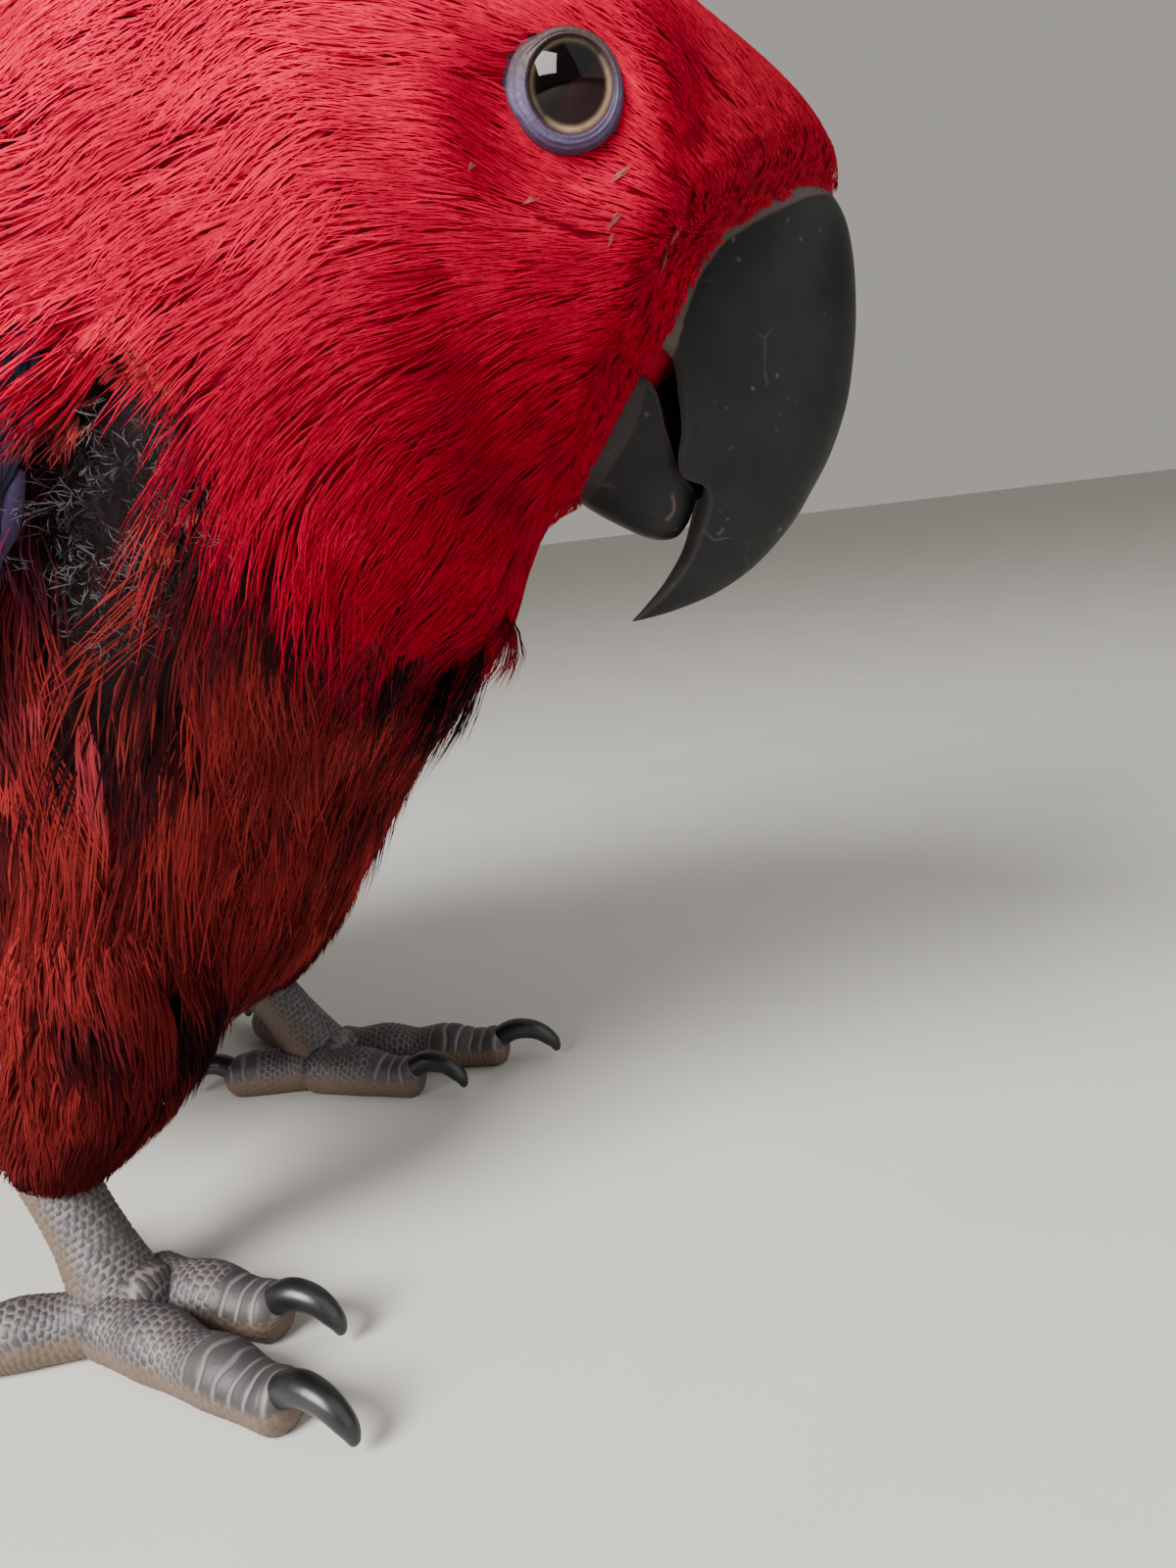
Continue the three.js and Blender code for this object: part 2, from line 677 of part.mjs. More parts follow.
function tarsus({ ankle, foot }, grow = 0) {
  const sole = foot.clone().add(vec(0, 0, TARSUS_RADIUS + 0.5));
  const shin = limb(
    [ankle.clone().add(vec(-1, 0, 3)), ankle.clone().lerp(sole, 0.5), sole],
    [TARSUS_RADIUS, TARSUS_RADIUS - 0.2, TARSUS_RADIUS], { steps: 5, sides: 10, grow },
  );
  const palm = new THREE.SphereGeometry(1, 12, 7);
  palm.scale(7 + grow, 6 + grow, 4.6 + grow);
  palm.translate(foot.x, foot.y, 4.6 - FLOOR_DIP);
  return shin.add(solid(palm));
}

function toeDirection(side, heading) {
  return vec(Math.cos(deg(heading)), side * Math.sin(deg(heading)), 0);
}

function toeRoot({ side, foot }, { heading, offset }) {
  const ahead = Math.sign(Math.cos(deg(heading))) * TOE_START / 2;
  return foot.clone().add(vec(ahead, side * offset, 0));
}

// A toe lies flat on the floor on its pads, and swells at each joint.
function toe(leg, shape, grow = 0) {
  const { reach, heading } = shape;
  const direction = toeDirection(leg.side, heading);
  const joints = Math.round(reach / 5);
  const points = [];
  const radii = [];
  for (let i = 0; i <= joints; i += 1) {
    const t = i / joints;
    const radius = TOE_RADIUS * (1.05 - 0.22 * t) + (i % 2 ? -0.2 : 0.2);
    radii.push(radius);
    const start = toeRoot(leg, shape).addScaledVector(direction, TOE_START);
    points.push(start.addScaledVector(direction, (reach - TOE_START - radius) * t).setZ(radius - FLOOR_DIP));
  }
  return limb(points, radii, { steps: joints * 2, sides: 8, grow });
}

// A claw arches up and forward out of the toe and comes down to its point. The arch is the
// part of the way along and the height of its middle line.
const CLAW_ROOT = 3.4;
const CLAW_ARCH = [[0, 3.4], [0.34, 5.2], [0.68, 5], [0.92, 3.2], [0.98, 1.4]];
const CLAW_RADII = [2.1, 2.05, 1.8, 1.35, 0.7];

function claw(leg, shape) {
  const { reach, claw: length, heading } = shape;
  const direction = toeDirection(leg.side, heading);
  const base = toeRoot(leg, shape).addScaledVector(direction, reach - CLAW_ROOT);
  const points = CLAW_ARCH.map(([t, z]) => {
    return base.clone().addScaledVector(direction, t * (length + CLAW_ROOT)).setZ(z);
  });
  return limb(points, CLAW_RADII, { steps: 6, sides: 6 });
}

// Assembly

const body = wholeBody();
const grownBody = wholeBody(GAP);
const neckPlane = cutPlane(NECK_CUT);
const headPlane = cutPlane(HEAD_CUT);

let head = aheadOf(body, headPlane).subtract(upperBill(BILL_GAP)).subtract(lowerBill(BILL_GAP));
for (const [side, name] of [[-1, 'right'], [1, 'left']]) {
  head = head.subtract(eyeball(side, GAP)).subtract(eyelids(side, GAP));
  addNode(`eye_${name}`, eyeball(side), eyeMaterial);
  addNode(`eyelid_${name}`, eyelids(side).subtract(eyeball(side, GAP)), lidMaterial);
}
addNode('head', head, plumageMaterials.head);
addNode('neck', aheadOf(behind(body, headPlane), neckPlane), plumageMaterials.head);
addNode('torso', behind(body, neckPlane), plumageMaterials.back);
addNode('upper_bill', upperBill(), billMaterial);
addNode('lower_bill', lowerBill().subtract(upperBill(GAP)), billMaterial);

for (const [side, name] of [[-1, 'right'], [1, 'left']]) {
  addNode(`wing_${name}`, wing(side).subtract(grownBody), plumageMaterials.wing);
}
addNode('tail', tail().subtract(grownBody), plumageMaterials.tail);

for (const [name, leg] of Object.entries(LEGS)) {
  const shin = tarsus(leg).trimByPlane(FLOOR_UP, 0);
  const grownShin = tarsus(leg, GAP);
  addNode(`thigh_${name}`, thigh(leg).subtract(grownBody).subtract(grownShin), plumageMaterials.back);
  addNode(`tarsus_${name}`, shin, scaleMaterial);
  for (const [digit, shape] of Object.entries(TOES)) {
    let clear = toe(leg, shape).subtract(grownShin).trimByPlane(FLOOR_UP, 0);
    if (digit === 'outer') clear = clear.subtract(toe(leg, TOES.inner, GAP));
    if (digit === 'rear') clear = clear.subtract(toe(leg, TOES.hallux, GAP));
    addNode(`toe_${digit}_${name}`, clear, scaleMaterial);
    const nail = claw(leg, shape).subtract(toe(leg, shape, GAP)).trimByPlane(FLOOR_UP, 0.3);
    addNode(`claw_${digit}_${name}`, nail, clawMaterial);
  }
}

// The finished part faces -y, with its origin on the floor under the middle of its box.
bird.rotation.z = -Math.PI / 2;
const part = new THREE.Group();
part.add(bird);
const box = new THREE.Box3().setFromObject(part);
const centre = box.getCenter(new THREE.Vector3());
bird.position.set(-centre.x, -centre.y, -box.min.z);

export default part;
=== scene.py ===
import math

import bmesh
import bpy
import numpy as np
from mathutils import Matrix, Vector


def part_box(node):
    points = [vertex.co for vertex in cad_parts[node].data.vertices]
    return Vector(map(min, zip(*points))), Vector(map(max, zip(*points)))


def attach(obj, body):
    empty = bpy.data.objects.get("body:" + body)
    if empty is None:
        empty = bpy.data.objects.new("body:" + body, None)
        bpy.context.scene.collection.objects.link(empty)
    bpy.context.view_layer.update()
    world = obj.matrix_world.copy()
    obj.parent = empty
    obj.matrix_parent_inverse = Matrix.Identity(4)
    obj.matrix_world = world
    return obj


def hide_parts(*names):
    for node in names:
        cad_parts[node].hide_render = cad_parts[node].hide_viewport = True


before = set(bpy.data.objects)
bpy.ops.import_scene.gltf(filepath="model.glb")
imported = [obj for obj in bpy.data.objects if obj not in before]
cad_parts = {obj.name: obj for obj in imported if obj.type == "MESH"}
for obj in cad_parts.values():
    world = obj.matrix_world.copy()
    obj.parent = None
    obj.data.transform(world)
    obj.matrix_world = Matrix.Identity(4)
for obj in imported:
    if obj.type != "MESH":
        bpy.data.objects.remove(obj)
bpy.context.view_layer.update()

# The camera is close to the bird's right cheek, at about the height of its breast.
# It looks a little down and is rolled, so the head fills the upper half of the picture.
CAMERA_AT = np.array([103.6, -117.0, 80.0])
CAMERA_LOOK = np.array([-0.362, 0.909, -0.208])
CAMERA_RIGHT = np.array([0.932, 0.343, -0.119])
CAMERA_LENS = 27.05
CAMERA_REACH = (0.002, 20)

# The bird is drawn in its own frame: millimetres, x forward, y to its left, z up from the floor.
# Its head turns about 20 degrees left in that frame, tips to its right and is held low. Where
# the right eye stands in the solids gives the way from this frame to theirs.
RIGHT, LEFT = -1, 1
MM = 0.001
HEAD_ORIGIN = np.array([65.5, -6.2, 101.6])
EYE_FORWARD, EYE_UP, EYE_OUT = -1.2, 14.4, 14.2


def unit(vectors):
    vectors = np.asarray(vectors, float)
    length = np.linalg.norm(vectors, axis=-1, keepdims=True)
    return vectors / np.maximum(length, 1e-9)


HEAD_FORWARD = unit([0.932, 0.343, -0.119])
HEAD_UP = unit([0.173, -0.130, 0.976])
HEAD_LEFT = unit(np.cross(HEAD_UP, HEAD_FORWARD))


def on_head(forward, up, left=0.0):
    return HEAD_ORIGIN + HEAD_FORWARD * forward + HEAD_UP * up + HEAD_LEFT * left


eye_low, eye_high = (np.array(corner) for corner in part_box("eye_right"))
eye_there = (eye_low + eye_high) / 2 / MM
eye_here = on_head(EYE_FORWARD, EYE_UP, RIGHT * EYE_OUT)
FRAME_X = eye_there[0] - eye_here[1]
FRAME_Y = eye_there[1] + eye_here[0]


def in_frame(points):
    """Points of the bird's frame in the solids' frame, in metres."""
    points = np.asarray(points, float)
    return np.stack([
        (points[..., 1] + FRAME_X) * MM,
        (FRAME_Y - points[..., 0]) * MM,
        points[..., 2] * MM,
    ], axis=-1)


def turned(directions):
    """Directions of the bird's frame in the solids' frame."""
    return np.stack([directions[..., 1], -directions[..., 0], directions[..., 2]], axis=-1)


def stand_at(thing, place, right, up, back):
    """Shows a camera or a light at a place, with its own three axes along these."""
    stand = Matrix([[*row, 0] for row in np.stack([right, up, back], axis=1)] + [[0, 0, 0, 1]])
    stand.translation = place
    thing.matrix_world = stand
    bpy.context.scene.collection.objects.link(thing)


camera_data = bpy.data.cameras.new("camera")
camera_data.lens = CAMERA_LENS
camera_data.clip_start, camera_data.clip_end = CAMERA_REACH
camera = bpy.data.objects.new("camera", camera_data)
back = -unit(turned(CAMERA_LOOK))
right = turned(CAMERA_RIGHT)
right = unit(right - back * right.dot(back))
stand_at(camera, in_frame(CAMERA_AT), right, np.cross(back, right), back)
bpy.context.scene.camera = camera

# The skin is one bare hide over the head, neck, body and thighs.
# It lies under the coat by the coat's depth, and the feathers grow from it.
# Sections of the form give its ridge, its keel and half its width, from the rump to the bill.
SIDES = {"right": RIGHT, "left": LEFT}
BODY_HALF = 34.0
HEAD_HALF = 20.5
RUMP, BILL_BASE = 0.0, 15.0


def station(top, bottom, half, turn=0.0, square=2.1, bow=0.0):
    """One section: ridge, keel, half width, how far it turns with the head, how square, how bowed."""
    return [*top, *bottom, half, turn, square, bow]


TORSO_STATIONS = [
    station((-106, 0, 44), (-101, 0, 31), 10),
    station((-88, 0, 60), (-86, 0, 26), BODY_HALF * 0.62),
    station((-64, 0, 78), (-58, 0, 21.5), BODY_HALF * 0.86),
    station((-40, 0, 95), (-27, 0, 20), BODY_HALF * 0.98),
    station((-15, -1, 111), (8, 0, 27), BODY_HALF),
    station((2, -5, 125), (33, -1, 54), BODY_HALF * 0.97, 0.1),
    station((15, -10, 133.5), (47.5, -3, 67.5), BODY_HALF * 0.9, 0.35),
]
NECK_STATIONS = [
    station((30, -17, 136), on_head(-8.5, -31.5), 27.5, 0.7),
    station(on_head(-29, 29.5), on_head(-6.6, -26), 24.5, 0.95, 2.2),
]
HEAD_STATIONS = [
    station(on_head(-19.3, 31.5), on_head(-5.3, -22.7), HEAD_HALF * 1.09, 1, 2.28),
    station(on_head(-9, 30), on_head(-4.6, -21.5), HEAD_HALF * 1.04, 1, 2.3),
    station(on_head(1.2, 26.6), on_head(-3.9, -20.8), HEAD_HALF * 0.98, 1, 2.28),
    station(on_head(10, 21.5), on_head(-3.1, -20.3), HEAD_HALF * 0.92, 1, 2.18, -0.5),
    station(on_head(17.2, 16.6), on_head(-2.4, -20), HEAD_HALF * 0.79, 1, 2.1, -1.5),
    station(on_head(21.3, 12.1), on_head(-1.7, -19.7), HEAD_HALF * 0.64, 1, 2, -3),
    station(on_head(22.2, 8.2), on_head(-0.9, -19.3), HEAD_HALF * 0.5, 1, 2, -4.5),
]
BODY = np.array(TORSO_STATIONS + NECK_STATIONS + HEAD_STATIONS)


def smooth(values, place):
    """The values at any place along them, on a smooth curve through each."""
    values = np.asarray(values, float)
    place = np.asarray(place, float)
    low = np.clip(np.floor(place).astype(int), 0, len(values) - 2)
    t = place - low
    if values.ndim == 2:
        t = t[..., None]
    a, b = values[low], values[low + 1]
    before = values[np.maximum(low - 1, 0)]
    after = values[np.minimum(low + 2, len(values) - 1)]
    t2, t3 = t * t, t * t * t
    return (a * (2 * t3 - 3 * t2 + 1) + b * (3 * t2 - 2 * t3)
            + (b - before) / 2 * (t3 - 2 * t2 + t) + (after - a) / 2 * (t3 - t2))


def spread(low, high, value):
    """0 below low, 1 above high and smooth between."""
    t = np.clip((np.asarray(value, float) - low) / (high - low), 0, 1)
    return t * t * (3 - 2 * t)


def in_head(points):
    """How far forward, up and left points lie in the head."""
    inside = np.asarray(points, float) - HEAD_ORIGIN
    return inside @ HEAD_FORWARD, inside @ HEAD_UP, inside @ HEAD_LEFT


def mix(first, second, amount):
    return first * (1 - amount[..., None]) + second * amount[..., None]


def section_point(stations, place, angle, lift=0.0):
    """A point of the form, by its place along it and its angle round from the back's ridge."""
    value = smooth(stations, place)
    top, bottom = value[..., 0:3], value[..., 3:6]
    half, turn, square, bow = (value[..., i, None] for i in range(6, 10))
    lift = np.asarray(lift, float)[..., None]
    up = top - bottom
    high = np.linalg.norm(up, axis=-1, keepdims=True) / 2
    up = unit(up)
    turn = np.clip(turn, 0, 1)
    left = np.array([0.0, 1.0, 0.0]) * (1 - turn) + HEAD_LEFT * turn
    left = unit(left - up * np.sum(left * up, axis=-1, keepdims=True))
    forward = np.cross(left, up)
    angle = np.asarray(angle, float)[..., None]
    power = 2 / square
    cosine = np.sign(np.cos(angle)) * np.abs(np.cos(angle)) ** power
    sine = np.sign(np.sin(angle)) * np.abs(np.sin(angle)) ** power
    return ((top + bottom) / 2 + up * (high + lift) * cosine
            + left * (half + lift) * sine + forward * bow * sine * sine)


# The skin closes on the base of the bill, so the bill's rows come here. Each has its ridge
# and its cutting edge, as forward and up in the head, and its half width. The feather line is
# where the feathers end round the bill, from the forehead down to the chin.
UPPER_BILL = [
    ((19, 11), (0, -3), 8.8),
    ((22.6, 7.4), (4.4, -3.6), 9.4),
    ((24.1, 3.7), (7.2, -5.1), 9.5),
    ((24.9, -1.5), (8.0, -8.4), 9.3),
    ((25.0, -6.0), (8.4, -11.4), 9.0),
    ((24.7, -10.0), (8.2, -14.0), 8.4),
    ((23.6, -14.3), (8.8, -15.7), 7.7),
    ((22.0, -17.9), (11.0, -16.8), 7.0),
    ((20.2, -21.3), (11.3, -18.8), 6.1),
    ((17.0, -25.3), (10.7, -21.6), 4.7),
    ((13.2, -28.2), (9.8, -24.6), 3.2),
    ((9.0, -30.1), (8.0, -27.6), 1.9),
    ((6.2, -31.0), (6.0, -29.9), 0.8),
    ((4.6, -31.4), (4.6, -31.3), 0.12),
]
LOWER_BILL = [
    ((-6.0, -15.0), (-1.0, -5.0), 8.4),
    ((-0.7, -19.2), (5.2, -7.0), 8.8),
    ((3.4, -21.5), (7.1, -11.5), 8.3),
    ((6.4, -22.7), (8.4, -14.9), 7.0),
    ((8.6, -22.6), (10.0, -17.0), 5.0),
    ((9.8, -21.4), (10.6, -18.4), 2.4),
]
SHEATH_HIGH, SHEATH_WIDE = 0.86, 0.82
FEATHER_LINE = np.array([
    (40, 8.6), (22.1, 8.1), (19.1, 7.7), (14.8, 5.8), (11.6, 3.9), (9.6, 1.2), (8.4, -2.1),
    (7.7, -5.1), (5.6, -6.4), (4.4, -11.3), (1.8, -15.6), (-0.3, -19.3), (-3.0, -24.0),
])
NET_STEP = 0.5
NET_FORWARD, NET_ABOVE = np.arange(-8, 28, NET_STEP), np.arange(-26, 14, NET_STEP)
FAR_OFF = 99.0


def bill_rows(rows):
    return np.array([[*ridge, *edge, half] for ridge, edge, half in rows], float)


def sheath_table():
    """How far out the bill's sides stand, over a net of the side view."""
    known = []
    for rows in (UPPER_BILL, LOWER_BILL):
        value = smooth(bill_rows(rows), np.linspace(0, len(rows) - 1, 60))
        turn = np.linspace(0, math.pi / 2, 40)
        high, wide = np.cos(turn) ** SHEATH_HIGH, np.sin(turn) ** SHEATH_WIDE
        ridge, edge, half = value[:, None, 0:2], value[:, None, 2:4], value[:, None, 4:5]
        flat = edge + (ridge - edge) * high[None, :, None]
        known.append(np.concatenate([flat, half * wide[None, :, None]], axis=-1).reshape(-1, 3))
    known = np.concatenate(known)
    net = np.stack(np.meshgrid(NET_FORWARD, NET_ABOVE, indexing="ij"), axis=-1)
    away = np.linalg.norm(net[:, :, None] - known[None, None, :, 0:2], axis=-1)
    return known[away.argmin(axis=-1), 2]


SHEATH = sheath_table()


def sheath_side(forward, above):
    """How far out the bill's side stands at points of the side view."""
    i = np.clip((forward - NET_FORWARD[0]) / NET_STEP, 0, len(NET_FORWARD) - 1.001)
    j = np.clip((above - NET_ABOVE[0]) / NET_STEP, 0, len(NET_ABOVE) - 1.001)
    a, b = i.astype(int), j.astype(int)
    u, v = i - a, j - b
    low = SHEATH[a, b] * (1 - u) + SHEATH[a + 1, b] * u
    high = SHEATH[a, b + 1] * (1 - u) + SHEATH[a + 1, b + 1] * u
    return low * (1 - v) + high * v


def beyond_feathers(forward, above):
    """Millimetres past the line where the feathers end at the bill, and less than 0 behind it."""
    at = np.stack([forward, above], axis=-1)
    best = np.full(np.shape(forward), FAR_OFF)
    for start, end in zip(FEATHER_LINE[:-1], FEATHER_LINE[1:]):
        run = end - start
        t = np.clip(((at - start) @ run) / run.dot(run), 0, 1)
        best = np.minimum(best, np.linalg.norm(at - start - t[..., None] * run, axis=-1))
    line = np.interp(above, FEATHER_LINE[::-1, 1], FEATHER_LINE[::-1, 0], right=FAR_OFF)
    return np.where(np.asarray(forward) > line, best, -best)


EYE_RADIUS = 6.0
EYE_RING = 4.15
SOCKET_HIGH = 3.9
SOCKET_SLOPE = 0.16
SOCKET_REACH = (10.5, 5.2)
TUCK_REACH = 6.0
RIDGE_ROOM = 1.8
LEAST_ROOM = 0.5


def eye_axis(side):
    return unit(HEAD_LEFT * side - HEAD_FORWARD * 0.09 - HEAD_UP * 0.15)


def eye_centre(side):
    return on_head(EYE_FORWARD, EYE_UP, side * EYE_OUT)


def from_eye_axis(points, side):
    """How high points stand along one eye's axis, and how far and which way off it."""
    axis = eye_axis(side)
    from_eye = points - eye_centre(side)
    height = from_eye @ axis
    flat = from_eye - height[..., None] * axis
    return height, np.linalg.norm(flat, axis=-1), unit(flat)


def level_with_lids(points, lift):
    """Brings the form round each eye up or down to the outer edge of its lids."""
    for side in SIDES.values():
        height, away, _ = from_eye_axis(points, side)
        rim = SOCKET_HIGH + SOCKET_SLOPE * np.maximum(away - EYE_RING, 0) ** 1.3 + lift
        near = spread(*SOCKET_REACH, away) * (height > -EYE_RADIUS)
        points = points + eye_axis(side) * ((rim - height) * near)[..., None]
    return points


def body_form(place, angle, lift=0.0):
    """The feathered form of head, neck and body, drawn in where it meets the bill."""
    point = level_with_lids(section_point(BODY, place, angle, lift), lift)
    forward, above, left = in_head(point)
    tuck = spread(-TUCK_REACH, 0.4, beyond_feathers(forward, above))
    room = np.maximum(sheath_side(forward, above) - 0.5, RIDGE_ROOM) + np.minimum(lift, 0)
    room = np.maximum(room, LEAST_ROOM)
    inward = np.maximum(np.abs(left) - room, 0) * tuck
    return point - HEAD_LEFT * (np.sign(left) * inward)[..., None]


def thigh_line(side):
    if side == RIGHT:
        return [(2, -12, 54), (10, -25, 36.5), (-2, -28, 19)]
    return [(-6, 12, 54), (-3.5, 24.5, 36.5), (-14, 27, 19)]


THIGH_RADII = [9.0, 11.5, 11.5, 8.5, 5.8]
THIGH_END = 2.0


def thigh_form(side):
    """The thigh's form, as a function of the place down it and the angle round it."""
    line = np.array(thigh_line(side), float)

    def form(place, angle):
        place = np.clip(place, 0, THIGH_END)
        centre = smooth(line, place)
        run = unit(smooth(line, np.minimum(place + 0.05, THIGH_END)) - smooth(line, place - 0.05))
        across = unit(np.cross([0.0, 1.0, 0.0], run))
        over = np.cross(run, across)
        radius = smooth(THIGH_RADII, place * 2)[..., None]
        angle = np.asarray(angle, float)[..., None]
        return centre + (across * np.cos(angle) - over * np.sin(angle)) * radius

    return form


# How deep the skin lies under the form at each place from the rump to the bill
COAT_DEPTH = [0.7, 0.8, 0.9, 0.9, 1.0, 1.2, 1.3, 1.1, 1.0, 0.8, 0.7, 0.6, 0.45, 0.3, 0.15, 0.0]
THIGH_BARE = 0.8
SKIN_ROWS, SKIN_COLUMNS, SKIN_THIGH_ROWS = 106, 80, 24
SKIN_VOXEL = 0.8 * MM
LIP_SHIFT, LIP_SCALE = (1.1, -0.9), 0.93


def grid_faces(rows, columns):
    """Quads between rows of points that each go once round."""
    r, c = np.meshgrid(np.arange(rows - 1), np.arange(columns), indexing="ij")
    a = r * columns + c
    b = r * columns + (c + 1) % columns
    return np.stack([a, b, b + columns, a + columns], axis=-1).reshape(-1, 4)


def closed_tube(rings):
    """Points, quads and triangles of a skin over rings, with each end closed to its middle."""
    rings = np.asarray(rings)
    rows, columns = rings.shape[:2]
    points = np.concatenate([rings.reshape(-1, 3), [rings[0].mean(axis=0)], [rings[-1].mean(axis=0)]])
    start, end = rows * columns, rows * columns + 1
    i = np.arange(columns)
    j = (i + 1) % columns
    last = (rows - 1) * columns
    near = np.stack([np.full(columns, start), j, i], axis=-1)
    far = np.stack([np.full(columns, end), last + i, last + j], axis=-1)
    return points, grid_faces(rows, columns), np.concatenate([near, far])


def make_piece(name, points, quads=(), triangles=(), material=None):
    """A smooth mesh object from points in the bird's frame."""
    quads = np.asarray(quads, int).reshape(-1, 4)
    triangles = np.asarray(triangles, int).reshape(-1, 3)
    corners = np.concatenate([quads.ravel(), triangles.ravel()])
    starts = np.concatenate([
        np.arange(len(quads)) * 4,
        len(quads) * 4 + np.arange(len(triangles)) * 3,
    ])
    mesh = bpy.data.meshes.new(name)
    mesh.vertices.add(len(points))
    mesh.vertices.foreach_set("co", in_frame(points).ravel())
    mesh.loops.add(len(corners))
    mesh.loops.foreach_set("vertex_index", corners)
    mesh.polygons.add(len(starts))
    mesh.polygons.foreach_set("loop_start", starts)
    mesh.update(calc_edges=True)
    mesh.shade_smooth()
    piece = bpy.data.objects.new(name, mesh)
    bpy.context.scene.collection.objects.link(piece)
    if material:
        mesh.materials.append(material)
    return piece


def face_outward(piece):
    """Turns the faces of a closed mesh outward where its rings ran the other way."""
    work = bmesh.new()
    work.from_mesh(piece.data)
    bmesh.ops.recalc_face_normals(work, faces=work.faces)
    work.to_mesh(piece.data)
    work.free()
    piece.data.shade_smooth()


def set_values(piece, name, values):
    """Stores three values a point, which the finishes read by name."""
    layer = piece.data.attributes.new(name, "FLOAT_VECTOR", "POINT")
    layer.data.foreach_set("vector", np.asarray(values, float).ravel())


MOTTLE_HIGH = 3.4


def mottle(points, size, seed):
    """A soft, seeded unevenness from about -1 to 1, in patches of that size."""
    chance = np.random.default_rng(seed)
    waves = unit(chance.normal(size=(9, 3))) * chance.uniform(0.7, 1.5, size=(9, 1))
    phases = chance.uniform(0, 2 * math.pi, 9)
    total = np.sin(np.asarray(points) @ waves.T * (2 * math.pi / size) + phases).sum(axis=-1)
    return total / MOTTLE_HIGH


# Colours of the plumage, as the light that it gives back, and of the bare skin, which is also the
# painted shadow under the wing
BARE_SKIN_AND_SHADOW = np.array([0.014, 0.006, 0.008])
SCARLET = np.array([0.70, 0.0004, 0.0420])
# CRIMSON is the coat's darker red, and also the painted shade lower on the hood
CRIMSON = np.array([0.262, 0.0003, 0.0145])
# The lore's darker, browner red: partly its own colour, partly painted shade where the face turns from
# the light
LORE_RED_AND_SHADE = np.array([0.36, 0.0110, 0.0230])
BREAST_RED = np.array([0.245, 0.0190, 0.0190])
RUSSET = np.array([0.30, 0.0320, 0.0270])
MAROON = np.array([0.078, 0.0070, 0.0085])
VIOLET = np.array([0.022, 0.014, 0.060])
BLACKISH = np.array([0.013, 0.005, 0.007])
# The hood ends at one section of the form. Dark patches have a middle and a reach, and the
# plucked patch on the right shoulder a middle, a reach each way and a lean.
HOOD_EDGE = 6.55
DARK_PATCHES = [
    ((46, -28, 79), 4.0), ((51, -17, 73), 5.5), ((43, -14, 65), 5.5), ((26, -31, 71), 6.5),
    ((36, -22, 65), 4.0), ((12, -8, 32), 7.0), ((20, -22, 37), 7.5), ((30, -8, 50), 4.0),
    ((44, 24, 76), 5.0), ((30, 28, 66), 6.5), ((38, 12, 60), 5.5), ((16, 14, 36), 8.0),
    ((4, -30, 62), 7.0), ((-4, 30, 60), 8.0), ((43.5, -35, 89), 4.5),
]
BARE_PATCH = np.array([31.5, -36.0, 85.0])
BARE_REACH = np.array([8.2, 12.0, 11.5])
BARE_LEAN = np.array([0.25, 0.0, 0.0])

hood_cut = section_point(BODY, np.array([HOOD_EDGE]), np.array([0.0, math.pi]))
hood_low, hood_top = hood_cut[1], hood_cut[0]
hood_ahead = unit(np.cross(np.array([0.0, 1.0, 0.0]), hood_top - hood_low))


def bareness(points, grown=1.0):
    """1 in the plucked patch on the right shoulder and 0 away from it."""
    apart = points - BARE_PATCH
    apart = apart - BARE_LEAN * apart[..., 2:3]
    away = np.linalg.norm(apart / (BARE_REACH * grown), axis=-1)
    return 1 - spread(0.75, 1.1, away + 0.18 * mottle(points, 7, 31))


def plumage(points):
    """The coat's colour at points of the bird, by where they lie, with painted shade lower on the hood.
    """
    points = np.asarray(points, float)
    ahead = (points - hood_low) @ hood_ahead
    wander = 3.0 * mottle(points, 22, 3) + 1.5 * mottle(points, 7, 4)
    hood = spread(-8, 5, ahead + wander)
    back = spread(88, 104, points[:, 2] + 0.35 * points[:, 0] + wander) * (1 - hood)
    colour = mix(SCARLET, CRIMSON, spread(-0.6, 0.9, mottle(points, 30, 5)) * 0.4)
    # Painted shade: lower down, the hood's red darkens to crimson, away from the light above.
    low = spread(120, 88, points[:, 2] + wander)
    colour = mix(colour, np.broadcast_to(CRIMSON, points.shape), low * 0.8)
    breast = mix(np.broadcast_to(BREAST_RED, points.shape), MAROON,
                 spread(-0.5, 0.9, mottle(points, 14, 6)) * 0.75)
    breast = mix(breast, MAROON, spread(55, 25, points[:, 2]) * 0.5)
    colour = mix(breast, colour, hood)
    colour = mix(colour, MAROON, back)
    mantle = back * spread(-34, -8, points[:, 0] + wander) * spread(34, 18, points[:, 0] + wander)
    colour = mix(colour, VIOLET, mantle * 0.9)
    dark = np.zeros(len(points))
    for middle, reach in DARK_PATCHES:
        away = np.linalg.norm(points - np.array(middle, float), axis=-1)
        dark = np.maximum(dark, spread(reach * 1.25, reach * 0.6, away + 1.6 * mottle(points, 5, 8)))
    dark = np.maximum(dark, 0.75 * spread(0.72, 1.1, mottle(points, 11, 9)) * (1 - hood))
    forward, above, _ = in_head(points)
    # Near the bill the red is darker and browner: partly its own colour, partly painted shade where the
    # face turns from the light.
    lore = spread(4, 15, forward) * spread(-4, 6, above)
    colour = mix(colour, LORE_RED_AND_SHADE, lore * 0.8)
    colour = mix(colour, BLACKISH, dark)
    return mix(colour, BLACKISH, bareness(points, 1.15) * 0.9)


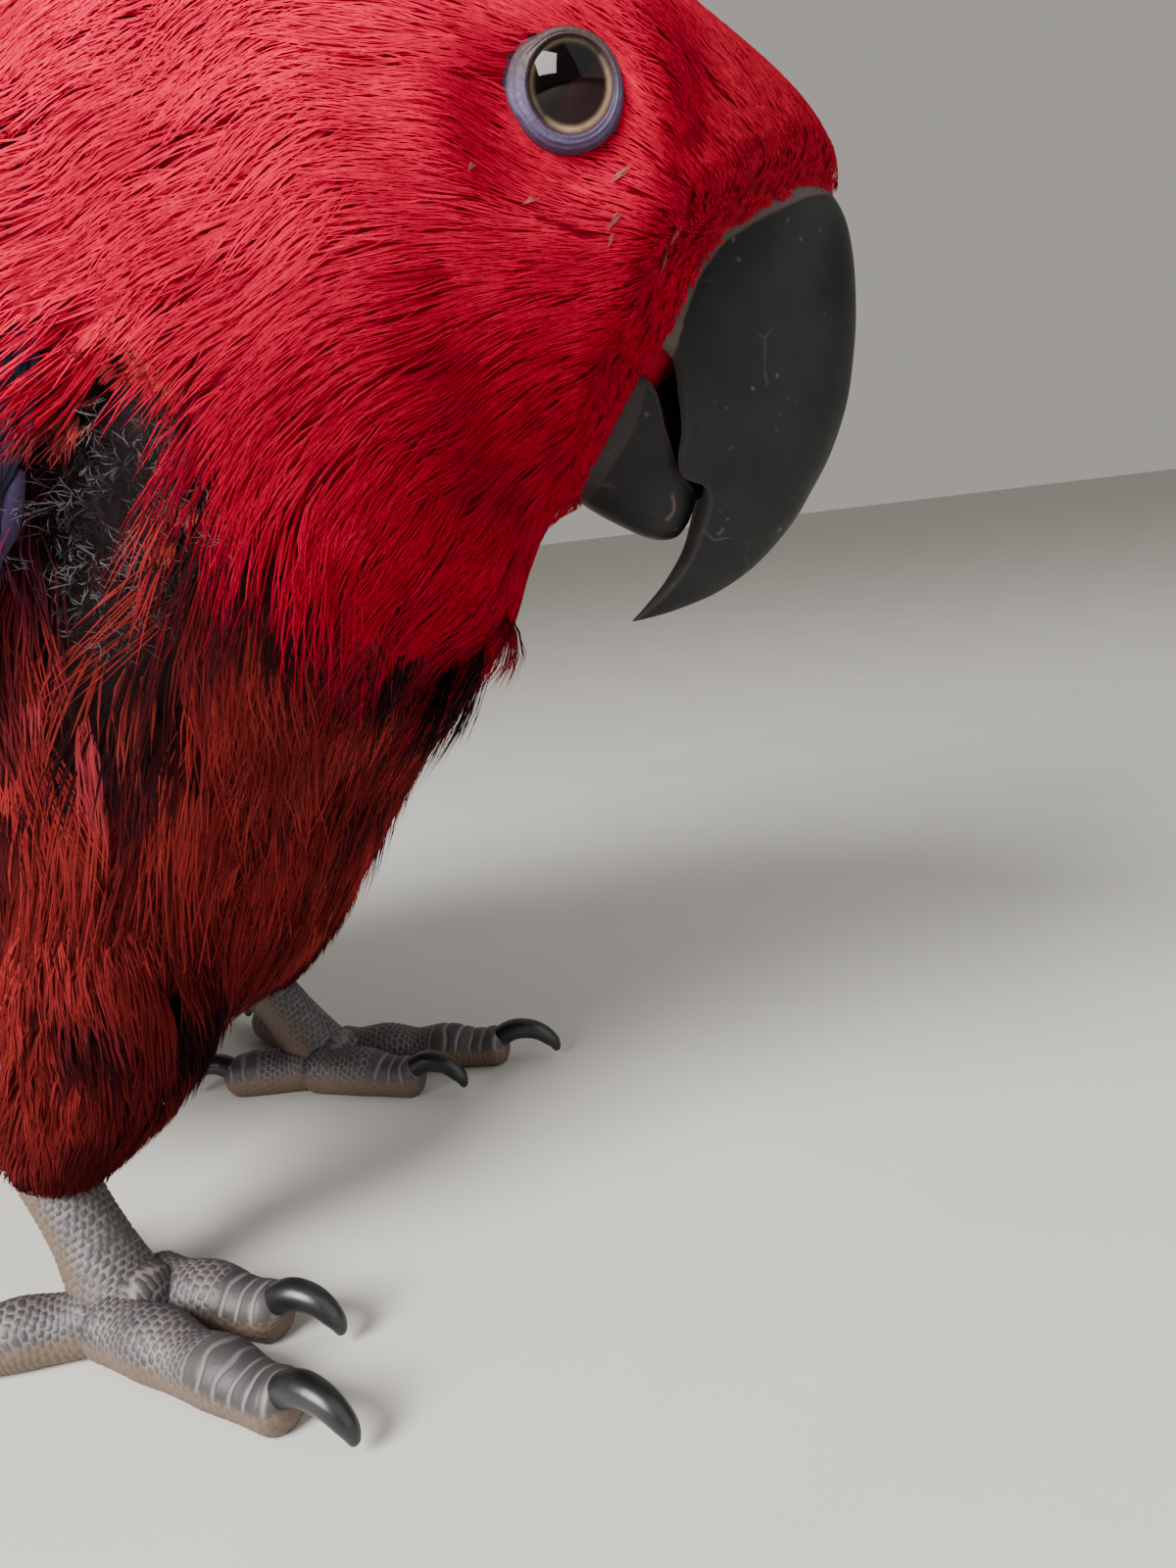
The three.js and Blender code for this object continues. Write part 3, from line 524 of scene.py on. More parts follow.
def bare_forms():
    """Closed tubes for the trunk and both thighs, before they grow together."""
    places = np.linspace(RUMP, BILL_BASE, SKIN_ROWS)
    angles = np.linspace(0, 2 * math.pi, SKIN_COLUMNS, endpoint=False)
    place, angle = np.meshgrid(places, angles, indexing="ij")
    rings = body_form(place, angle, -smooth(COAT_DEPTH, place))
    centre = rings[-1].mean(axis=0)
    lip = centre + (rings[-1] - centre) * LIP_SCALE + on_head(*LIP_SHIFT) - HEAD_ORIGIN
    tubes = [closed_tube(np.concatenate([rings, lip[None]]))]
    for side in SIDES.values():
        places = np.linspace(0, THIGH_END, SKIN_THIGH_ROWS)
        rings = thigh_form(side)(*np.meshgrid(places, angles[::2], indexing="ij"))
        middle = rings.mean(axis=1, keepdims=True)
        tubes.append(closed_tube(middle + (rings - middle) * THIGH_BARE))
    return tubes


def apply_all(piece):
    """Leaves the piece as its modifiers make it."""
    shown = piece.evaluated_get(bpy.context.evaluated_depsgraph_get())
    mesh = bpy.data.meshes.new_from_object(shown)
    piece.modifiers.clear()
    piece.data = mesh


def make_skin():
    points, quads, triangles, count = [], [], [], 0
    for more, four, three in bare_forms():
        points.append(more)
        quads.append(four + count)
        triangles.append(three + count)
        count += len(more)
    skin = make_piece("skin", np.concatenate(points), np.concatenate(quads), np.concatenate(triangles))
    face_outward(skin)
    join = skin.modifiers.new("join", "REMESH")
    join.mode = "VOXEL"
    join.voxel_size = SKIN_VOXEL
    relax = skin.modifiers.new("relax", "SMOOTH")
    relax.factor = 0.5
    relax.iterations = 4
    apply_all(skin)
    skin.data.shade_smooth()
    return skin


# How much wider than the patch itself its dark skin reaches
BARE_SKIN_GROWN = 1.45


def points_of(piece):
    """The piece's points, back in the bird's frame."""
    flat = np.empty(len(piece.data.vertices) * 3)
    piece.data.vertices.foreach_get("co", flat)
    there = flat.reshape(-1, 3) / MM
    return np.stack([FRAME_Y - there[:, 1], there[:, 0] - FRAME_X, there[:, 2]], axis=-1)


def new_finish(name):
    material = bpy.data.materials.new(name)
    material.use_nodes = True
    tree = material.node_tree
    return material, tree, tree.nodes["Principled BSDF"]


def node(tree, kind, **settings):
    made = tree.nodes.new(kind)
    for key, value in settings.items():
        setattr(made, key, value)
    return made


def noise(tree, scale, detail=3.0, vector=None):
    made = node(tree, "ShaderNodeTexNoise")
    made.inputs["Scale"].default_value = scale
    made.inputs["Detail"].default_value = detail
    if vector is None:
        vector = node(tree, "ShaderNodeTexCoord").outputs["Object"]
    tree.links.new(vector, made.inputs["Vector"])
    return made.outputs["Fac"]


def stored(tree, name):
    """Values that set_values stored on the piece."""
    return node(tree, "ShaderNodeAttribute", attribute_name=name).outputs


def ramp(tree, source, stops):
    """Colours or greys along a value from 0 to 1."""
    made = node(tree, "ShaderNodeValToRGB")
    marks = made.color_ramp.elements
    while len(marks) < len(stops):
        marks.new(0.5)
    for mark, (at, colour) in zip(marks, stops):
        mark.position = at
        mark.color = (*colour, 1) if hasattr(colour, "__len__") else (colour, colour, colour, 1)
    tree.links.new(source, made.inputs["Fac"])
    return made.outputs["Color"]


MIX_FACTOR, MIX_FIRST, MIX_SECOND, MIX_RESULT = 0, 6, 7, 2


def blended(tree, amount, first, second, how="MIX"):
    """One colour laid on another. Each is a socket or a fixed colour, and so is the amount."""
    made = node(tree, "ShaderNodeMix", data_type="RGBA", blend_type=how)
    for index, value in ((MIX_FACTOR, amount), (MIX_FIRST, first), (MIX_SECOND, second)):
        if isinstance(value, bpy.types.NodeSocket):
            tree.links.new(value, made.inputs[index])
        elif index == MIX_FACTOR:
            made.inputs[index].default_value = value
        else:
            made.inputs[index].default_value = (*value, 1)
    return made.outputs[MIX_RESULT]


def add_bump(tree, shader, height, strength, distance):
    made = node(tree, "ShaderNodeBump")
    made.inputs["Strength"].default_value = strength
    made.inputs["Distance"].default_value = distance
    tree.links.new(height, made.inputs["Height"])
    tree.links.new(made.outputs["Normal"], shader.inputs["Normal"])


def finish_shader(tree, shader, colour, roughness, gloss):
    """Sets the shader's colour from a socket, and its roughness and gloss."""
    tree.links.new(colour, shader.inputs["Base Color"])
    shader.inputs["Roughness"].default_value = roughness
    shader.inputs["Specular IOR Level"].default_value = gloss


def skin_finish():
    material, tree, shader = new_finish("bare skin")
    grain = noise(tree, 900)
    dark = ramp(tree, grain, [(0.35, 0.6), (0.65, 1.0)])
    shade = blended(tree, 1.0, stored(tree, "shade")["Color"], dark, "MULTIPLY")
    finish_shader(tree, shader, shade, 0.8, 0.1)
    add_bump(tree, shader, grain, 0.5, 0.0004)
    return material


skin = make_skin()
skin.data.materials.append(skin_finish())
skin_points = points_of(skin)
bare = bareness(skin_points, BARE_SKIN_GROWN)
# Painted shadow: the skin is darkened where it lies under the folded wing's lower edge.
wing_shadow = spread(29, 22, skin_points[:, 0]) * spread(16, 22, np.abs(skin_points[:, 1]))
wing_shadow = wing_shadow * spread(56, 62, skin_points[:, 2])
skin_shade = mix(plumage(skin_points) * 0.8, BARE_SKIN_AND_SHADOW, np.maximum(bare, wing_shadow) * 0.9)
set_values(skin, "shade", skin_shade)
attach(skin, "root")
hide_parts("head", "neck", "torso", "thigh_right", "thigh_left")

# The bill is horn over bone, matt charcoal with faint pale scratches and a thin bare edge
# at its base. The upper half hooks over the lower one and is notched in each cutting edge.
# A dry black tongue fills the mouth between them.
def bill_half(name, rows, steps, hollow):
    """One half's horn sheath through its rows. Its inner side is hollowed by a share of its height."""
    value = smooth(bill_rows(rows), np.linspace(0, len(rows) - 1, steps))
    outer = np.linspace(-math.pi / 2, math.pi / 2, 73)
    inner = np.linspace(1, -1, 17)[1:-1]
    rings, lies = [], []
    for ridge_f, ridge_u, edge_f, edge_u, half in value:
        ridge, edge = np.array([ridge_f, ridge_u]), np.array([edge_f, edge_u])
        reach = np.concatenate([np.cos(outer) ** SHEATH_HIGH, hollow * (1 - inner ** 2)])
        width = np.concatenate([np.sign(outer) * np.abs(np.sin(outer)) ** SHEATH_WIDE, inner * 0.97])
        flatwise = edge + (ridge - edge) * reach[:, None]
        rings.append([on_head(f, u, w * half) for (f, u), w in zip(flatwise, width)])
        base = np.clip(-beyond_feathers(flatwise[:, 0], flatwise[:, 1]) / 4 + 0.5, 0, 1)
        brink = 1 - spread(0.0, 1.0, np.linalg.norm(ridge - edge) * reach)
        lies.append(np.stack([base, brink, width], axis=-1))
    points, quads, triangles = closed_tube(np.array(rings))
    piece = make_piece(name, points, quads, triangles)
    face_outward(piece)
    set_values(piece, "lie", np.concatenate([*lies, [[1, 0, 0]], [[0, 0, 0]]]))
    return piece


def lie_of(tree):
    """The three values that each point stores under the name lie."""
    apart = node(tree, "ShaderNodeSeparateXYZ")
    tree.links.new(stored(tree, "lie")["Vector"], apart.inputs["Vector"])
    return apart.outputs["X"], apart.outputs["Y"], apart.outputs["Z"]


SCORE_WANDER = 0.012


def scratches(tree, place, size, width):
    """Thin curved scores: the borders of big cells, broken up so that few are left."""
    bend = node(tree, "ShaderNodeTexNoise")
    bend.inputs["Scale"].default_value = 120
    tree.links.new(place, bend.inputs["Vector"])
    moved = node(tree, "ShaderNodeVectorMath", operation="MULTIPLY_ADD")
    tree.links.new(bend.outputs["Color"], moved.inputs[0])
    moved.inputs[1].default_value = (SCORE_WANDER, SCORE_WANDER, SCORE_WANDER)
    tree.links.new(place, moved.inputs[2])
    cells = node(tree, "ShaderNodeTexVoronoi", feature="DISTANCE_TO_EDGE")
    cells.inputs["Scale"].default_value = 1 / size
    tree.links.new(moved.outputs[0], cells.inputs["Vector"])
    line = ramp(tree, cells.outputs["Distance"], [(0.0, 1.0), (width, 0.0)])
    kept = ramp(tree, noise(tree, 140, 2, place), [(0.52, 0.0), (0.6, 1.0)])
    return blended(tree, 1.0, line, kept, "MULTIPLY")


CHIP_GREY = (0.075, 0.073, 0.070)


def horn_finish(name, rim, worn, score_size, score_width):
    """Matt charcoal horn with pale scores and chips, worn at its edge and bare at its base."""
    material, tree, shader = new_finish(name)
    place = node(tree, "ShaderNodeTexCoord").outputs["Object"]
    colour = ramp(tree, noise(tree, 130, 4, place), [
        (0.3, (0.0060, 0.0062, 0.0064)), (0.7, (0.0135, 0.0138, 0.0138))])
    score = scratches(tree, place, score_size, score_width)
    colour = blended(tree, score, colour, worn)
    chips = ramp(tree, noise(tree, 620, 1, place), [(0.72, 0.0), (0.76, 0.6)])
    colour = blended(tree, chips, colour, CHIP_GREY)
    base, brink, _ = lie_of(tree)
    colour = blended(tree, ramp(tree, brink, [(0.35, 0.0), (0.95, 0.6)]), colour, worn)
    colour = blended(tree, ramp(tree, base, [(0.49, 0.0), (0.56, 0.8)]), colour, rim)
    finish_shader(tree, shader, colour, 0.45, 0.17)
    add_bump(tree, shader, noise(tree, 420, 6, place), 0.3, 0.0003)
    return material


TONGUE_LINE = [(-4, -11), (1, -9.5), (5, -9.8), (8, -12), (9.6, -15), (10.7, -18.6)]
TONGUE_GIRTH = [(6.5, 4.0), (6.8, 4.6), (6.4, 4.4), (5.2, 2.8), (4.2, 2.0), (2.0, 0.7)]


def make_tongue():
    """A blunt tongue that lies in the mouth and reaches the bill's notch."""
    t = np.linspace(0, len(TONGUE_LINE) - 1, 40)
    centre, size = smooth(TONGUE_LINE, t), smooth(TONGUE_GIRTH, t)
    run = unit(np.gradient(centre, axis=0))
    turn = np.linspace(0, 2 * math.pi, 40, endpoint=False)
    rings = []
    for (f, u), (rf, ru), (wide, thick) in zip(centre, run, size):
        high = np.cos(turn) * thick
        rings.append([on_head(f - ru * h, u + rf * h, w) for h, w in zip(high, np.sin(turn) * wide)])
    points, quads, triangles = closed_tube(np.array(rings))
    tongue = make_piece("tongue", points, quads, triangles)
    face_outward(tongue)
    return tongue


def tongue_finish():
    material, tree, shader = new_finish("tongue")
    grain = noise(tree, 900, 4)
    tone = ramp(tree, grain, [(0.3, (0.004, 0.003, 0.003)), (0.7, (0.012, 0.008, 0.008))])
    finish_shader(tree, shader, tone, 0.65, 0.2)
    add_bump(tree, shader, grain, 0.4, 0.0003)
    return material


UPPER_RIM, UPPER_WORN = (0.085, 0.070, 0.062), (0.045, 0.044, 0.044)
LOWER_RIM, LOWER_WORN = (0.030, 0.022, 0.022), (0.085, 0.062, 0.064)

upper_bill = bill_half("upper_bill_horn", UPPER_BILL, 130, 0.12)
upper_bill.data.materials.append(horn_finish("upper horn", UPPER_RIM, UPPER_WORN, 0.016, 0.010))
lower_bill = bill_half("lower_bill_horn", LOWER_BILL, 64, 0.3)
lower_bill.data.materials.append(horn_finish("lower horn", LOWER_RIM, LOWER_WORN, 0.009, 0.05))
for horn, cad_node in ((upper_bill, "upper_bill"), (lower_bill, "lower_bill")):
    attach(horn, "root")
    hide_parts(cad_node)
tongue = make_tongue()
tongue.data.materials.append(tongue_finish())
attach(tongue, "root")

# Each eye is a wet ball with a wide brown-black pupil inside a thin cream ring.
# Bare blue-violet lids close round it, thicker and lighter below.
def eye_frame(side):
    """Out, forward and up of one eye."""
    out = eye_axis(side)
    up = unit(HEAD_UP - out * HEAD_UP.dot(out))
    return out, unit(HEAD_FORWARD - out * HEAD_FORWARD.dot(out)), up


GAZE_AHEAD, GAZE_UP = 0.07, 0.10
CORNEA_BULGE, CORNEA_TILT = 0.3, 0.62
POLE_TILT = 0.02


def make_eye(side, name):
    """A ball with a bulging front, which stores the tilt and the turn of each point."""
    out, ahead, up = eye_frame(side)
    out = unit(out + GAZE_AHEAD * ahead + GAZE_UP * up)
    ahead, up = unit(ahead - out * ahead.dot(out)), unit(up - out * up.dot(out))
    turns = np.linspace(0, 2 * math.pi, 64, endpoint=False)
    tilts = np.linspace(POLE_TILT, math.pi - POLE_TILT, 80)
    tilt, turn = np.meshgrid(tilts, turns, indexing="ij")
    bulge = EYE_RADIUS + CORNEA_BULGE * (1 - spread(0.0, CORNEA_TILT, tilt))
    flat = ahead * np.cos(turn)[..., None] + up * np.sin(turn)[..., None]
    way = out * np.cos(tilt)[..., None] + flat * np.sin(tilt)[..., None]
    points, quads, triangles = closed_tube(eye_centre(side) + way * bulge[..., None])
    ball = make_piece(f"eyeball_{name}", points, quads, triangles)
    face_outward(ball)
    wide = np.concatenate([tilt.ravel(), [0.0], [math.pi]])
    round_about = np.concatenate([turn.ravel(), [0.0], [0.0]])
    set_values(ball, "lie", np.stack([wide, np.cos(round_about), np.sin(round_about)], axis=-1))
    return ball


def figured(tree, how, *values):
    """A sum on sockets and fixed numbers."""
    made = node(tree, "ShaderNodeMath", operation=how)
    for place, value in zip(made.inputs, values):
        if isinstance(value, bpy.types.NodeSocket):
            tree.links.new(value, place)
        else:
            place.default_value = value
    return made.outputs[0]


# From the pupil out: brown-black, the cream ring, then the dark edge under the lids
IRIS_TONES = [
    (0.08, (0.0140, 0.0026, 0.0036)), (0.136, (0.017, 0.005, 0.006)),
    (0.145, (0.16, 0.095, 0.060)), (0.156, (0.50, 0.36, 0.24)), (0.170, (0.38, 0.25, 0.17)),
    (0.183, (0.016, 0.009, 0.010)),
]


def eye_finish():
    material, tree, shader = new_finish("eye")
    tilt, ahead, up = lie_of(tree)
    colour = ramp(tree, figured(tree, "DIVIDE", tilt, math.pi), IRIS_TONES)
    # Painted light and shade: the iris ring is lit toward the front and below and darkened toward the
    # back and above, as light through the cornea falls.
    painted_iris_light = ramp(tree, figured(tree, "SUBTRACT", ahead, up), [(0.0, 0.08), (1.2, 0.9)])
    colour = blended(tree, 1.0, colour, painted_iris_light, "MULTIPLY")
    flecks = ramp(tree, noise(tree, 1500, 3), [(0.3, 0.2), (0.7, 1.0)])
    colour = blended(tree, 0.35, colour, flecks, "MULTIPLY")
    finish_shader(tree, shader, colour, 0.04, 0.17)
    return material


LID_GAP = 0.15


def lid_profile(turn):
    """Inner and outer reach of the lids round the eye, and how high they stand."""
    up, ahead = np.sin(turn), np.cos(turn)
    behind = spread(0.72, 1.0, np.cos(turn - math.pi + 0.25))
    inner = 3.2 + 0.5 * up + 0.38 * ahead
    outer = EYE_RING + 0.25 * spread(0.2, 1, ahead) + 0.16 * spread(0, 1, up) + 0.95 * behind
    height = 0.42 + 0.22 * spread(0.3, -0.8, up)
    return inner, outer, height


def make_lids(side, name):
    """A rolled, creased ring of bare skin, closed underneath where it lies on the ball."""
    turns = np.linspace(0, 2 * math.pi, 140, endpoint=False)
    inner, outer, height = lid_profile(turns)
    outward, ahead, up = eye_frame(side)
    rings, lies = [], []
    for t in np.linspace(0, 1, 17):
        reach = inner + (outer - inner) * t
        ball = np.sqrt(np.maximum((EYE_RADIUS + LID_GAP) ** 2 - reach ** 2, 1.0))
        roll = math.sin(math.pi * min(0.1 + 0.62 * t, 1))
        crease = 0.05 * np.sin(turns * 3 + 4 * t) * math.sin(math.pi * t) + 0.05 * math.sin(t * 21)
        drop = ball + height * roll + crease - 0.5 * t * t
        rings.append(eye_centre(side) + outward * drop[:, None]
                     + ahead * (reach * np.cos(turns))[:, None] + up * (reach * np.sin(turns))[:, None])
        lies.append(np.stack([np.full(len(turns), t), np.sin(turns), np.cos(turns)], axis=-1))
    rings += [eye_centre(side) + (rings[-1] - eye_centre(side)) * 0.72,
              eye_centre(side) + (rings[0] - eye_centre(side)) * 0.86]
    lies += [lies[-1], lies[0]]
    count = len(turns)
    faces = grid_faces(len(rings) + 1, count) % (len(rings) * count)
    lids = make_piece(f"lids_{name}", np.concatenate(rings), faces)
    face_outward(lids)
    set_values(lids, "lie", np.concatenate(lies))
    return lids


# From the lower lid up: blue-violet, a lighter band, then brownish above
LID_TONES = [
    (0.1, (0.065, 0.050, 0.105)), (0.5, (0.095, 0.082, 0.150)),
    (0.74, (0.060, 0.040, 0.052)), (0.92, (0.052, 0.032, 0.032)),
]
LID_RIM = (0.040, 0.020, 0.036)


def from_zero(tree, value):
    """A value between -1 and 1, brought to between 0 and 1."""
    moved = node(tree, "ShaderNodeMapRange")
    moved.inputs["From Min"].default_value = -1
    tree.links.new(value, moved.inputs["Value"])
    return moved.outputs["Result"]


def lid_finish():
    material, tree, shader = new_finish("lids")
    outward, up, _ = lie_of(tree)
    skin_tone = ramp(tree, from_zero(tree, up), LID_TONES)
    rim = ramp(tree, outward, [(0.0, 0.85), (0.10, 0.15), (0.3, 0.0), (0.62, 0.0), (1.0, 0.8)])
    tone = blended(tree, rim, skin_tone, LID_RIM)
    fine = noise(tree, 1700, 5)
    tone = blended(tree, 0.35, tone, ramp(tree, fine, [(0.35, 0.4), (0.65, 1.0)]), "MULTIPLY")
    finish_shader(tree, shader, tone, 0.5, 0.3)
    add_bump(tree, shader, fine, 0.5, 0.00025)
    return material


eye_material, lid_material = eye_finish(), lid_finish()
for side_name, side in SIDES.items():
    ball = make_eye(side, side_name)
    ball.data.materials.append(eye_material)
    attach(ball, "root")
    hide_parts(f"eye_{side_name}")
    lids = make_lids(side, side_name)
    lids.data.materials.append(lid_material)
    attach(lids, "root")
    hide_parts(f"eyelid_{side_name}")

# The small feathers of head and body are loose and hair-like. Each is a spray of barbs from
# one root, laid over the form and swept back from the bill, with fine ones on the face.
FORM_STEP = 0.02

# Where along a barb its rings of points lie, and how wide it is at each but the last, its tip
LONG_BARB = ([0.0, 0.3, 0.66, 1.0], [0.6, 1.0, 0.75])
SHORT_BARB = ([0.0, 0.45, 1.0], [0.25, 1.0])


def surface_at(form, place, angle):
    """The form's point, its two directions and its normal at each place and angle."""
    point = form(place, angle)
    along = (form(place + FORM_STEP, angle) - form(place - FORM_STEP, angle)) / (2 * FORM_STEP)
    about = (form(place, angle + FORM_STEP) - form(place, angle - FORM_STEP)) / (2 * FORM_STEP)
    return point, along, about, unit(np.cross(along, about))


def step_over(place, angle, along, about, move):
    """Where a short move over the form leads, in place and angle."""
    a = np.sum(along * along, axis=-1)
    b = np.sum(along * about, axis=-1)
    c = np.sum(about * about, axis=-1)
    p = np.sum(along * move, axis=-1)
    q = np.sum(about * move, axis=-1)
    scale = 1 / np.maximum(a * c - b * b, 1e-6)
    return place + (c * p - b * q) * scale, angle + (a * q - b * p) * scale


def laid_flat(way, normal):
    """Directions turned down into the form's surface."""
    return unit(way - normal * np.sum(way * normal, axis=-1, keepdims=True))


def clear_of_eyes(points):
    """Moves points that would lie over an eye out to the edge of its bare ring."""
    for side in SIDES.values():
        height, away, outward = from_eye_axis(points, side)
        over = (height > 0) & (away < EYE_RING)
        pushed = points + outward * (EYE_RING - away)[:, None]
        points = np.where(over[:, None], pushed, points)
    return points


def near_eye(points):
    """How far points are from the nearer eye's axis."""
    best = np.full(len(points), FAR_OFF)
    for side in SIDES.values():
        height, away, _ = from_eye_axis(points, side)
        best = np.where(height > 0, np.minimum(best, away), best)
    return best


THIGH_RISE = 6.5
THIGH_NEAR = 38


def thigh_rise(points, normal):
    """How far the thighs stand out of the body there, along its normal, felt for in 1 mm steps."""
    rise = np.zeros(len(points))
    for side in SIDES.values():
        line = smooth(np.array(thigh_line(side), float), np.linspace(0, THIGH_END, 14))
        radii = smooth(THIGH_RADII, np.linspace(0, 2 * THIGH_END, 14))
        near = np.flatnonzero(np.linalg.norm(points - line.mean(axis=0), axis=-1) < THIGH_NEAR)
        for out in range(8):
            at = points[near] + normal[near] * out
            deep = (radii - np.linalg.norm(at[:, None] - line[None], axis=-1)).max(axis=1)
            rise[near] = np.maximum(rise[near], np.where(deep > 0, out + deep, 0))
    return rise


def scatter(form, places, angles, per_square, chance, rows=260, columns=220):
    """Roots spread evenly over part of a form, by how many grow on a square millimetre."""
    p = np.linspace(*places, rows + 1)
    a = np.linspace(*angles, columns + 1)
    place, angle = np.meshgrid(p[:-1], a[:-1], indexing="ij")
    place = (place + chance.random(place.shape) * (p[1] - p[0])).ravel()
    angle = (angle + chance.random(angle.shape) * (a[1] - a[0])).ravel()
    point, along, about, _ = surface_at(form, place, angle)
    area = np.linalg.norm(np.cross(along, about), axis=-1) * abs((p[1] - p[0]) * (a[1] - a[0]))
    count = np.cumsum(area * per_square(point, place, angle)) + chance.random()
    chosen = np.diff(np.floor(count), prepend=0) > 0
    return place[chosen], angle[chosen]


def sprays(form, place, angle, barbs, length, width, half, heading, chance, fan=0.3):
    """Turns each root into a spray of barbs that leave its shaft and curve back toward it."""
    count = len(place)
    feather = np.repeat(np.arange(count), barbs)
    offset = np.tile(np.linspace(-1, 1, barbs), count) + chance.normal(0, 0.15, count * barbs)
    place, angle = place[feather], angle[feather]
    point, along, about, normal = surface_at(form, place, angle)
    way = heading(point, place, along, normal, feather)
    aside = np.cross(normal, way)
    start = way * (chance.random(len(feather)) * 0.25 * length[feather])[:, None]
    start += aside * (offset * half[feather] * 0.6)[:, None]
    place, angle = step_over(place, angle, along, about, start)
    turn = offset * fan + chance.normal(0, 0.04, len(feather))
    way = way * np.cos(turn)[:, None] + aside * np.sin(turn)[:, None]
    reach = length[feather] * (1 - 0.3 * offset ** 2) * chance.uniform(0.8, 1.12, len(feather))
    bend = -offset * fan * chance.uniform(0.7, 1.8, len(feather))
    thick = width[feather] * chance.uniform(0.7, 1.25, len(feather))
    return dict(feather=feather, place=place, angle=angle, way=way, reach=reach,
                width=thick, bend=bend)


# The folded arm's edges over the body. In each row: the place, the lower and the upper edge in
# degrees round from the back's ridge, and how thick the arm is.
CARPAL = 9.8
WING_CLEAR = 0.9
WING_AHEAD = 4
WING_END = 0.9
ARM_OUTLINE = np.array([
    [CARPAL, 84, 56, 2.6], [9.2, 93, 46, 4.6], [8.2, 97, 34, 5.4],
    [7, 98, 24, 4.2], [5.9, 95, 26, 2.6], [4.9, 90, 38, 1.8],
], float)


def wing_height(place, angle, grown=0.0):
    """How high the folded arm stands over the body there, and 0 off its grown outline."""
    rows = ARM_OUTLINE[::-1]
    low, high, thick = (np.interp(place + WING_AHEAD, rows[:, 0], rows[:, i]) for i in (1, 2, 3))
    degrees = np.degrees(np.abs((angle + math.pi) % (2 * math.pi) - math.pi))
    across = (degrees - low) / (high - low)
    inside = spread(-0.06 - grown, 0.05 - grown, across) * spread(1.06 + grown, 0.95 + grown, across)
    inside = inside * spread(CARPAL + 0.1, CARPAL - 0.25, place + WING_AHEAD - 4 * grown)
    crown = np.sin(math.pi * np.clip(0.06 + 0.88 * across, 0.02, 0.98)) ** 0.6
    return (WING_CLEAR + 0.5 + thick * crown) * inside * (place > WING_END)


DRAPE_GROWN = 0.08
BARB_CREST = 0.9
SOFTNESS = 0.8
FORM_END = 0.03
DOWN = np.array([0.0, 0.0, -1.0])


def over_limbs(place, angle, point, normal, high, t):
    """Lifts a barb clear of the skin, and over the folded arm and the thigh where it meets them."""
    arm = wing_height(place, angle, DRAPE_GROWN)
    clear = 0.7 - 0.3 * spread(11, 13, place) + 0.8 * np.minimum(arm, 1)
    high = np.maximum(high, (arm + clear) * np.minimum(1.4 * t, 1))
    return high + np.minimum(thigh_rise(point, normal), THIGH_RISE)


def march(form, place, angle, way, surface, bend, droop, run):
    """Takes barbs on over the form in two equal steps, while they bend and droop."""
    _, along, about, normal = surface
    for step in range(2):
        if step:
            _, along, about, normal = surface_at(form, place, angle)
            way = laid_flat(way, normal)
        way = way - np.cross(way, normal) * (bend / 2)[:, None]
        way = unit(way + DOWN * droop[:, None])
        place, angle = step_over(place, angle, along, about, way * (run / 2)[:, None])
        if form is body_form:
            place = np.clip(place, FORM_END, BILL_BASE - FORM_END)
    return place, angle, way


def barb_faces(tube, count):
    """The faces of barbs that each are a three-sided tube of so many rings, with a pointed tip."""
    sides = ((0, 1), (1, 2), (2, 0))
    quads = [[3 * r + i, 3 * r + 3 + i, 3 * r + 3 + j, 3 * r + j]
             for r in range(tube - 1) for i, j in sides]
    last = 3 * (tube - 1)
    triangles = [[0, 1, 2]] + [[last + i, last + 3, last + j] for i, j in sides]
    base = np.arange(count)[:, None, None] * (3 * tube + 1)
    return base + np.array(quads)[None], base + np.array(triangles)[None]


def grow_barbs(name, form, barbs, lift, droop, shades, unwrap, kind=LONG_BARB):
    """The mesh of many barbs. Each lies over the form and ends in a point."""
    ring_places, ring_widths = kind
    tube = len(ring_widths)
    place, angle, way = barbs["place"], barbs["angle"], barbs["way"]
    rings, normals = [], []
    for k, t in enumerate(ring_places):
        point, along, about, normal = surface_at(form, place, angle)
        way = laid_flat(way, normal)
        high = lift[0] + (lift[1] - lift[0]) * t ** 0.7
        if form is body_form:
            high = over_limbs(place, angle, point, normal, high, t)
        spine = point + normal * high[:, None]
        if form is body_form:
            spine = clear_of_eyes(spine)
        if k == tube:
            rings.append(spine)
            normals.append(normal)
            break
        aside = np.cross(way, normal)
        half = (barbs["width"] * ring_widths[k] / 2)[:, None]
        for corner in (-aside, aside, normal * BARB_CREST):
            rings.append(spine + corner * half)
            normals.append(unit(normal * SOFTNESS + corner * (1 - SOFTNESS)))
        gap = ring_places[k + 1] - t
        place, angle, way = march(form, place, angle, way, (point, along, about, normal),
                                  barbs["bend"] * gap, droop * gap, barbs["reach"] * gap)
    count = len(barbs["reach"])
    piece = make_piece(name, np.stack(rings, axis=1).reshape(-1, 3), *barb_faces(tube, count))
    facing = turned(np.stack(normals, axis=1).reshape(-1, 3))
    piece.data.normals_split_custom_set_from_vertices(facing)
    dress_barbs(piece, barbs, ring_places[:tube], shades, unwrap)
    return piece


TUFT_PATCH = 0.003
TIP_OF_TUBE = 0.9
GOLDEN = 0.618


